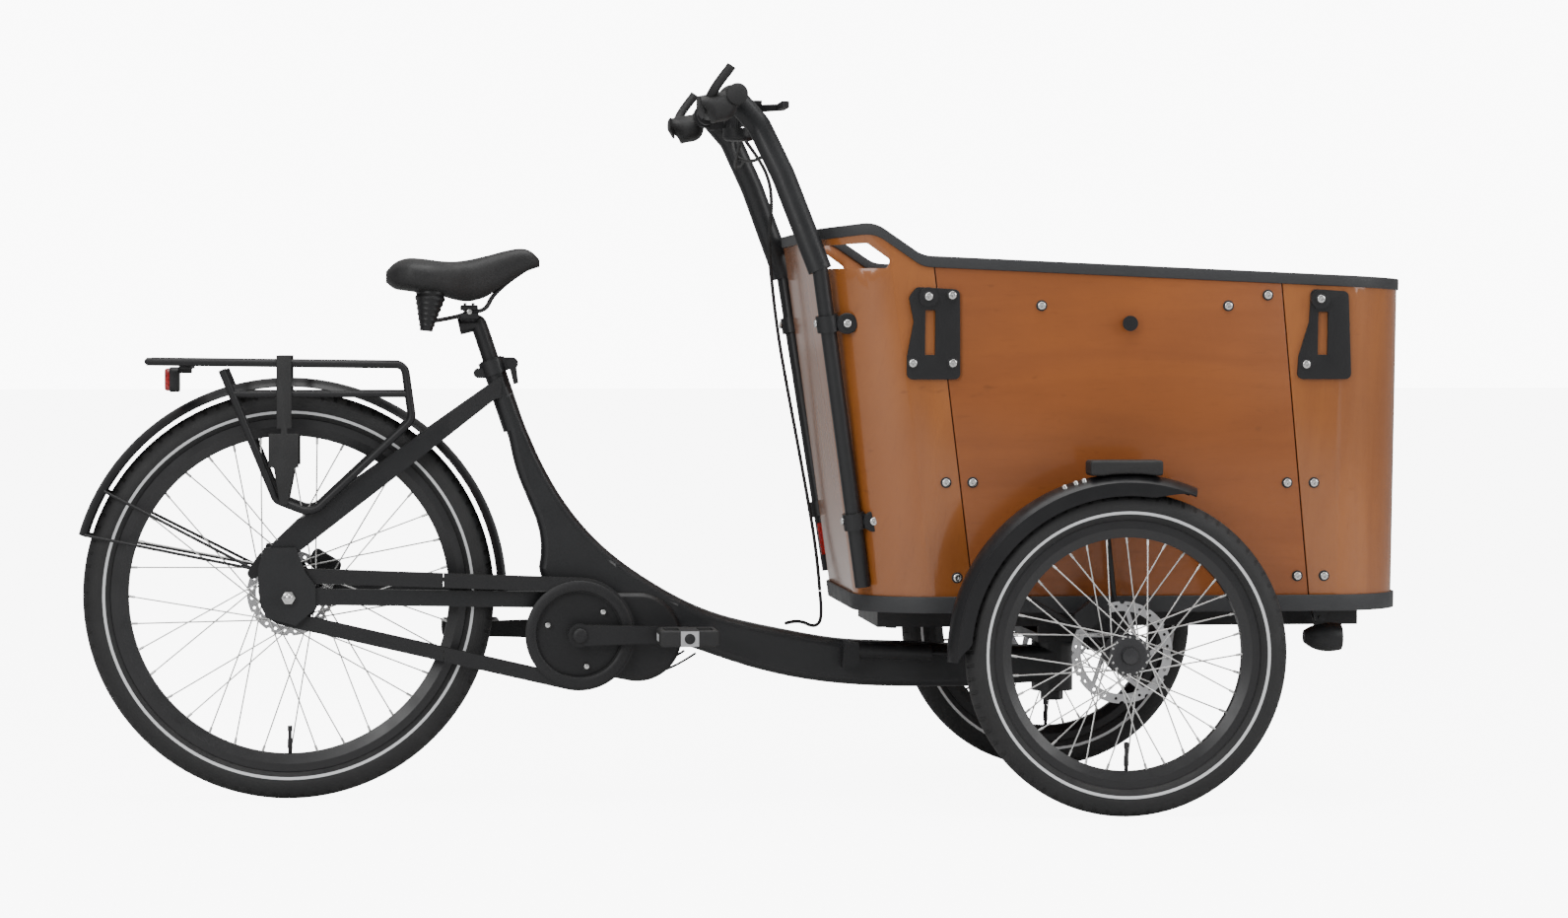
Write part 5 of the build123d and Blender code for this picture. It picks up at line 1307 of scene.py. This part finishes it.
@dataclass
class SaddleUnit:
    """The saddle with its padded skin, its sprung frame, the post and the clamp."""

    tail_x: float = -0.5705
    nose_x: float = -0.3225
    widths: tuple[Pair, ...] = (
        (0.00, 0.060), (0.05, 0.086), (0.15, 0.0995), (0.28, 0.099), (0.42, 0.080),
        (0.56, 0.052), (0.70, 0.035), (0.85, 0.027), (0.95, 0.022), (1.00, 0.013),
    )
    tops: tuple[Pair, ...] = (
        (0.000, 0.8520), (0.057, 0.8680), (0.133, 0.8745), (0.233, 0.8730), (0.348, 0.8690), (0.441, 0.8680),
        (0.541, 0.8715), (0.655, 0.8785), (0.750, 0.8850), (0.839, 0.8900), (0.916, 0.8900), (0.975, 0.8830),
        (1.000, 0.8720),
    )
    bottoms: tuple[Pair, ...] = (
        (0.000, 0.8340), (0.030, 0.8210), (0.141, 0.8160), (0.348, 0.8090), (0.470, 0.7990), (0.541, 0.7965),
        (0.655, 0.8040), (0.717, 0.8165), (0.809, 0.8340), (0.927, 0.8510), (1.000, 0.8590),
    )
    groove: float = 0.0040
    squareness: float = 3.0
    boot_x: float = -0.506
    boot_y: float = 0.060
    boot_foot: float = 0.756
    boot_head: float = 0.826
    boot_ribs: int = 7
    rail_y: float = 0.022
    rail_radius: float = 0.0035
    post_radius: float = 0.0134
    clamp_x: float = -0.4365
    bolt_x: float = 0.0065
    bolt_y: float = 0.012

    def build(self, shop: Shop) -> None:
        """Makes the padded skin and what holds it up."""
        shop.dress(BAR_PAINT, "seat_clamp_lever")
        skin = shop.hang(self.skin(), SKIN, Body.SEAT, "saddle")
        shop.hang(self.post(), BAR_PAINT, Body.SEAT, "seat_post")
        shop.hang(self.frame(), SADDLE_BLACK, Body.SEAT, "saddle_frame")
        shop.hang(self.clamp(), MOULDED, Body.SEAT)
        shop.hang(self.clamp_bolts(), STEEL, Body.SEAT)

    @staticmethod
    def along(table: Sequence[Pair], t: float) -> float:
        """Reads a table of stations at t."""
        for (t0, v0), (t1, v1) in zip(table, table[1:]):
            if t <= t1:
                return v0 + (v1 - v0) * (t - t0) / (t1 - t0)
        return table[-1][1]

    def skin(self) -> Piece:
        """The padded body: a cube cut into a grid and drawn out to its stations."""
        length = self.nose_x - self.tail_x
        piece = block("saddle_skin", (0, 0, 0), (1, 1, 1))
        with editing(piece):
            bpy.ops.mesh.select_all(action="SELECT")
            bpy.ops.mesh.subdivide(number_cuts=19)
        for point in piece.data.vertices:
            point.co = self.drawn(point.co, length)
        return softened(piece, 2)

    def drawn(self, point: Vector, length: float) -> Point:
        """Moves one point of the unit cube to its place on the saddle.

        Args:
            point: the point on the cube.
            length: the saddle's length.

        Returns:
            Its place.
        """
        t = point.x + 0.5
        across, up = point.y * 2, point.z * 2
        ring, size = max(abs(across), abs(up)), math.hypot(across, up)
        if size > 1e-6:
            power = self.squareness
            fit = (abs(across / size) ** power + abs(up / size) ** power) ** (-1 / power)
            across, up = across / size * ring * fit, up / size * ring * fit
        half = self.along(self.widths, t)
        top, bottom = self.along(self.tops, t), self.along(self.bottoms, t)
        ends = min(1.0, 7 * t * (1 - t))
        hollow = 0.50 * (top - bottom) * max(0.0, -up) * max(0.0, 1 - (across / 0.72) ** 2) * ends
        dip = self.groove * math.exp(-((across * half / 0.011) ** 2)) * max(0.0, up) * ends * (1 - t)
        z = (top + bottom) / 2 + up * (top - bottom) / 2 + hollow - dip
        return (self.tail_x + length * t, across * half, z)

    def post(self) -> Piece:
        """The seat post, which bends back at its head."""
        points = [
            (-0.3475, 0, 0.5481), (-0.4000, 0, 0.7050), (-0.4150, 0, 0.7500), (-0.4184, 0, 0.7600),
            (-0.4228, 0, 0.7712), (-0.4350, 0, 0.7670), (-0.4530, 0, 0.7630),
        ]
        return smooth_path("seat_post_shell", points, self.post_radius)

    def boot(self, side: Side) -> Piece:
        """The ribbed rubber boot over one spring, narrower at its foot."""
        foot, head, ribs = self.boot_foot, self.boot_head, self.boot_ribs
        profile = [(0.0, 0.0), (0.0, 0.0100)]
        for rib in range(ribs):
            level = 0.006 + rib * (head - foot - 0.010) / ribs
            width = 0.0125 + 0.0115 * min(1.0, rib / (ribs - 2))
            profile += [(level, width - 0.0022), (level + 0.003, width), (level + 0.006, width - 0.0006)]
        profile += [(head - foot, 0.0215), (head - foot, 0.0)]
        origin = (self.boot_x, side.value * self.boot_y, foot)
        return turned(f"boot_{side.word}", profile, origin, (0.12, 0, 1), 40)

    def frame(self) -> Piece:
        """The two rails with the spring boots."""
        parts: list[Piece] = []
        for side in Side:
            y = side.value
            rail = [
                (self.boot_x, y * self.boot_y, 0.7700), (-0.4860, y * 0.050, 0.7735),
                (-0.4560, y * 0.026, 0.7790), (-0.4400, y * self.rail_y, 0.7850),
                (-0.4200, y * self.rail_y, 0.7880), (-0.4080, y * self.rail_y, 0.7930),
                (-0.4000, y * 0.021, 0.8110), (-0.3840, y * 0.018, 0.8270), (-0.3640, y * 0.012, 0.8430),
                (-0.3440, y * 0.006, 0.8560),
            ]
            parts.append(smooth_path("rail", rail, self.rail_radius))
            parts.append(self.boot(side))
        return joined("saddle_frame_shell", parts)

    def clamp(self) -> Piece:
        """The two clamp plates that grip the rails."""
        lower = block("clamp", (self.clamp_x, 0, 0.7805), (0.030, 0.058, 0.0085))
        with editing(lower):
            pick(lower, lambda middle, normal: normal.z < -FACING)
            bpy.ops.mesh.extrude_region_move(TRANSFORM_OT_translate={"value": (0.0, 0.0, -0.007)})
            bpy.ops.transform.resize(value=(0.8, 0.55, 1.0))
        upper = block("clamp", (self.clamp_x, 0, 0.7935), (0.028, 0.056, 0.0085))
        return joined("rail_clamp", [round_over(lower, 0.0015), round_over(upper, 0.0022)])

    def clamp_bolts(self) -> Piece:
        """The bright bolts that draw the clamp plates together."""
        bolts: list[Piece] = []
        for end in (-1, 1):
            for side in Side:
                place = (self.clamp_x + end * self.bolt_x, side.value * self.bolt_y, 0.7905)
                bolts.append(rod("bolt", place, (0, 0, 1), 0.0026, 0.022, 18))
        for side in Side:
            place = (self.clamp_x, side.value * 0.0298, 0.7870)
            bolts.append(rod("bolt", place, (0, 1, 0), 0.0042, 0.0022, 20))
        return round_over(joined("clamp_bolts", bolts), 0.0005, 2)


# ---------------------------------------------------------------- frame, drive and rack


@dataclass
class RearFrame:
    """The main frame and stays, with the mudguards and the steering damper."""

    guard_half: float = 0.0302
    crown: float = 0.2685
    depth: float = 0.0215
    sweep: tuple[float, float] = (-92.0, 23.0)
    rear_point: float = 7.0
    front_point: float = 16.0
    steps: int = 60
    wall: float = 0.0020
    bolt_angles: tuple[float, ...] = (-14.4, -17.2, -21.0)
    bolt_reach: float = 0.2785
    bolt_y: float = 0.399

    def build(self, shop: Shop) -> None:
        """Dresses it."""
        shop.dress(FRAME_PAINT, "main_frame", "seat_stays", "chain_stays", "front_chassis")
        shop.dress(GUARD, "rear_mudguard", "front_mudguard_left", "front_mudguard_right")
        shop.dress(BAR_PAINT, "rear_caliper", "front_calipers", "steering_damper")
        shop.dress(STEEL, "rear_axle")
        shop.refined("step_pads", SOFT_RUBBER, Body.CARRIAGE, 0.0040, 4)
        for side in Side:
            shop.hang(self.skirts(side), GUARD, Body.CARRIAGE)
        shop.hang(self.guard_bolts(), STEEL, Body.CARRIAGE)

    def skirts(self, side: Side) -> Piece:
        """The two deep side walls of a front mudguard, drawn to a point at both ends.

        Args:
            side: which guard.

        Returns:
            Both walls as one piece.
        """
        x, y, z = FRONT_AXLE[0], side.value * FRONT_AXLE[1], FRONT_AXLE[2]
        walls: list[Piece] = []
        for edge in (-1, 1):
            start = math.radians(self.sweep[0])
            out = Vector((math.sin(start), 0.0, math.cos(start)))
            foot = Vector((x, y + edge * self.guard_half, z)) + out * self.crown
            bpy.ops.object.select_all(action="DESELECT")
            bpy.ops.mesh.primitive_plane_add(size=0.001, location=foot)
            wall = bpy.context.object
            wall.name = "skirt"
            settle(wall)
            with editing(wall, "VERT"):
                bpy.ops.mesh.select_all(action="SELECT")
                bpy.ops.mesh.merge(type="CENTER")
                bpy.ops.mesh.extrude_region_move(TRANSFORM_OT_translate={"value": -self.depth * out})
                bpy.ops.mesh.select_all(action="SELECT")
                turn = math.radians(self.sweep[0] - self.sweep[1])
                bpy.ops.mesh.spin(steps=self.steps, angle=turn, center=(x, y, z), axis=(0, 1, 0))
                bpy.ops.mesh.select_all(action="SELECT")
                bpy.ops.mesh.remove_doubles(threshold=0.00001)
                bpy.ops.mesh.subdivide(number_cuts=1)
            self.point_ends(wall, x, z)
            only(wall)
            thick = wall.modifiers.new("wall", "SOLIDIFY")
            thick.thickness = self.wall
            thick.offset = 0.0
            bpy.ops.object.modifier_apply(modifier=thick.name)
            with editing(wall):
                bpy.ops.mesh.select_all(action="SELECT")
                bpy.ops.mesh.normals_make_consistent(inside=False)
            walls.append(wall)
        return round_over(joined(f"guard_skirts_{side.word}", walls), 0.0005, 1)

    def point_ends(self, wall: Piece, x: float, z: float) -> None:
        """Lifts a wall's lower edge towards the crown near both ends."""
        for point in wall.data.vertices:
            run, rise = point.co.x - x, point.co.z - z
            angle, reach = math.degrees(math.atan2(run, rise)), math.hypot(run, rise)
            from_rear = (angle - self.sweep[0]) / self.rear_point
            from_front = (self.sweep[1] - angle) / self.front_point
            keep = min(1.0, max(0.0, min(from_rear, from_front)))
            keep = keep * keep * (3 - 2 * keep) * 0.96 + 0.04
            new = self.crown - (self.crown - reach) * keep
            point.co.x, point.co.z = x + run * new / reach, z + rise * new / reach

    def guard_bolts(self) -> Piece:
        """The three small bolts behind each step pad."""
        profile = [(-0.002, 0.0), (-0.002, 0.0042), (0.0034, 0.0040), (0.0048, 0.0026), (0.0052, 0.0)]
        heads: list[Piece] = []
        for side in Side:
            middle = Vector((FRONT_AXLE[0], side.value * self.bolt_y, FRONT_AXLE[2]))
            for angle in self.bolt_angles:
                out = Vector((math.sin(math.radians(angle)), 0.0, math.cos(math.radians(angle))))
                place = middle + out * self.bolt_reach
                heads.append(turned("bolt", profile, tuple(place), tuple(out), 20))
        return joined("guard_bolts", heads)


@dataclass
class DriveUnit:
    """The motor, cranks, pedals and chain."""

    centre_x: float = -0.262
    centre_z: float = 0.267
    crank: float = 0.170
    bolts: int = 3
    bolt_circle: float = 0.053
    bolt_phase: float = 0.75
    ring_y: float = -0.0672
    crank_face: float = 0.0954
    pedal_end: float = 0.1856
    tread_x: float = 0.0475
    tread_y: float = 0.140

    def build(self, shop: Shop) -> None:
        """Dresses the drive and adds its bolts and caps."""
        shop.refined("motor", MOULDED, Body.FRAME, 0.003)
        shop.dress(BAR_PAINT, "crankset")
        shop.dress(MOULDED, "chain_cover")
        shop.dress(CHAIN_STEEL, "chain", "rear_sprocket")
        shop.refined("pedal_right", SOFT_RUBBER, Body.RIGHT_PEDAL, 0.0016)
        shop.refined("pedal_left", SOFT_RUBBER, Body.LEFT_PEDAL, 0.0016)
        shop.hang(self.guard_ring(), MOULDED, Body.FRAME)
        shop.hang(self.motor_leads(), SOFT_RUBBER, Body.FRAME)
        shop.hang(self.ring_bolts(), STEEL, Body.CRANKS)
        shop.hang(self.axle_nuts(), STEEL, Body.FRAME)
        for side in Side:
            shop.hang(self.crank_cap(side), MOULDED, Body.CRANKS)
            body = Body.RIGHT_PEDAL if side is Side.RIGHT else Body.LEFT_PEDAL
            shop.hang(self.pedal_plate(side), SILVER, body)
            shop.hang(self.pedal_cap(side), MOULDED, body)
            shop.hang(self.treads(side), REFLECTIVE, body)

    def guard_ring(self) -> Piece:
        """The fixed dished ring that covers the edge of the chain wheel."""
        profile = [
            (0.0000, 0.0700), (0.0016, 0.0695), (0.0030, 0.0710), (0.0036, 0.0760), (0.0030, 0.0845),
            (0.0014, 0.0870), (0.0000, 0.0870), (0.0000, 0.0700),
        ]
        return turned("guard_ring", profile, (self.centre_x, self.ring_y, self.centre_z), (0, -1, 0), 96)

    def motor_leads(self) -> Piece:
        """The two leads from the motor's foot up into the frame beam."""
        leads = (
            (
                (-0.176, -0.012, 0.205), (-0.157, -0.016, 0.199), (-0.124, -0.018, 0.214),
                (-0.088, -0.016, 0.236),
            ),
            (
                (-0.178, -0.020, 0.203), (-0.158, -0.022, 0.196), (-0.124, -0.026, 0.204),
                (-0.094, -0.026, 0.217), (-0.070, -0.020, 0.232),
            ),
        )
        return joined("motor_leads", [smooth_path("lead", points, 0.0019) for points in leads])

    def ring_bolts(self) -> Piece:
        """The small bright bolts on the face of the chain wheel."""
        bolts: list[Piece] = []
        for turn in range(self.bolts):
            angle = 2 * math.pi * turn / self.bolts + self.bolt_phase
            x = self.centre_x + self.bolt_circle * math.cos(angle)
            z = self.centre_z + self.bolt_circle * math.sin(angle)
            bolts.append(rod("bolt", (x, self.ring_y + 0.001, z), (0, 1, 0), 0.0042, 0.006, 18))
        return round_over(joined("ring_bolts", bolts), 0.0008, 2)

    def axle_nuts(self) -> Piece:
        """The domed nuts on the rear axle's ends."""
        lo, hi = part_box("rear_axle")
        centre = ((lo.x + hi.x) / 2, 0.0, (lo.z + hi.z) / 2)
        nuts: list[Piece] = []
        for side in Side:
            end = (lo.y if side is Side.RIGHT else hi.y) - side.value * 0.006
            profile = [
                (0.0, 0.0), (0.0, 0.0095), (0.0045, 0.0095), (0.0050, 0.0070), (0.0080, 0.0062),
                (0.0095, 0.0040), (0.0100, 0.0),
            ]
            nuts.append(turned("nut", profile, (centre[0], end, centre[2]), (0, side.value, 0), 24))
        return joined("axle_nuts", nuts)

    def pedal_x(self, side: Side) -> float:
        """Where the side's pedal axle is."""
        return self.centre_x - side.value * self.crank

    def crank_cap(self, side: Side) -> Piece:
        """The round cap over the crank bolt."""
        origin = (self.centre_x, side.value * self.crank_face, self.centre_z)
        profile = [
            (-0.002, 0.0), (-0.002, 0.0115), (0.0015, 0.0115), (0.0028, 0.010), (0.0032, 0.004),
            (0.0024, 0.0),
        ]
        return turned(f"crank_cap_{side.word}", profile, origin, (0, side.value, 0), 32)

    def pedal_plate(self, side: Side) -> Piece:
        """The bright square plate on the pedal's outer end."""
        centre = (self.pedal_x(side), side.value * self.pedal_end, self.centre_z)
        plate = block(f"pedal_plate_{side.word}", centre, (0.029, 0.0016, 0.0245))
        with editing(plate):
            pick(plate, lambda middle, normal: normal.y * side.value > FACING)
            bpy.ops.mesh.inset(thickness=0.0026)
            bpy.ops.transform.translate(value=(0, -side.value * 0.0005, 0))
        return round_over(plate, 0.0005, 2)

    def pedal_cap(self, side: Side) -> Piece:
        """The round dust cap over the pedal's bearing."""
        profile = [(-0.001, 0.0), (-0.001, 0.0085), (0.0008, 0.0085), (0.0014, 0.0072), (0.0016, 0.0)]
        origin = (self.pedal_x(side), side.value * self.pedal_end, self.centre_z)
        return turned(f"pedal_cap_{side.word}", profile, origin, (0, side.value, 0), 28)

    def treads(self, side: Side) -> Piece:
        """The pale reflectors at the front and back of the pedal."""
        bars: list[Piece] = []
        for end in (-1, 1):
            place = (self.pedal_x(side) + end * self.tread_x, side.value * self.tread_y, self.centre_z)
            bar = block("pedal_bar", place, (0.0012, 0.046, 0.012))
            bars.append(round_over(bar, 0.0004, 2))
        return joined(f"pedal_reflectors_{side.word}", bars)


@dataclass
class Rack:
    """The luggage rack and its rubber strap."""

    def build(self, shop: Shop) -> None:
        """Dresses it."""
        shop.dress(BAR_PAINT, "rack")
        shop.refined("rack_strap", SOFT_RUBBER, Body.FRAME, 0.0012)


@dataclass
class Lamps:
    """The head lamp, the tail lamp and the reflector."""

    lens_radius: float = 0.0185
    lens_z: float = 0.267

    def build(self, shop: Shop) -> None:
        """Dresses the lamps and adds the front lens."""
        shop.dress(MOULDED, "headlight")
        shop.refined("tail_light", MOULDED, Body.FRAME, 0.0025)
        shop.dress(RED, "tail_light_lens", "reflector")
        shop.hang(self.lens(), GLASS, Body.LAMP)

    def lens(self) -> Piece:
        """The domed front lens."""
        lo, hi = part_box("headlight")
        origin = (hi.x, (lo.y + hi.y) / 2, self.lens_z)
        rim = self.lens_radius
        profile = [
            (-0.0030, 0.0), (-0.0030, rim), (-0.0005, rim), (0.0012, 0.013), (0.0020, 0.007), (0.0023, 0.0),
        ]
        return turned("lamp_lens", profile, origin, (1, 0, 0), 40)


def wheels() -> list[Wheel]:
    """The driven wheel behind and the two smaller wheels in front."""
    rear = Wheel(
        "rear", Body.REAR_WHEEL, (-0.727, 0, 0.330),
        tyre_radius=0.330, rim_inner=0.262, band_radius=0.2955, disc_y=0.048, heads=0,
    )
    made = [rear]
    for side, body in ((Side.RIGHT, Body.RIGHT_WHEEL), (Side.LEFT, Body.LEFT_WHEEL)):
        axle = (FRONT_AXLE[0], side.value * FRONT_AXLE[1], FRONT_AXLE[2])
        front = Wheel(
            f"front_{side.word}", body, axle,
            tyre_radius=0.253, rim_inner=0.187, band_radius=0.221, disc_y=side.value * 0.347,
        )
        made.append(front)
    return made


def main() -> None:
    """Builds the whole bicycle round its CAD frame."""
    logging.basicConfig(level=logging.INFO, format="%(name)s: %(message)s")
    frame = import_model()
    bpy.ops.object.select_all(action="DESELECT")
    Studio().build()
    shop = Shop(frame)
    for part in (*wheels(), CargoBox(), Handlebar(), SaddleUnit(), RearFrame(), DriveUnit(), Rack(), Lamps()):
        part.build(shop)
        log.info("%s is done", type(part).__name__)
    log.info("%d pieces made", shop.count)


if __name__ == "__main__":
    main()
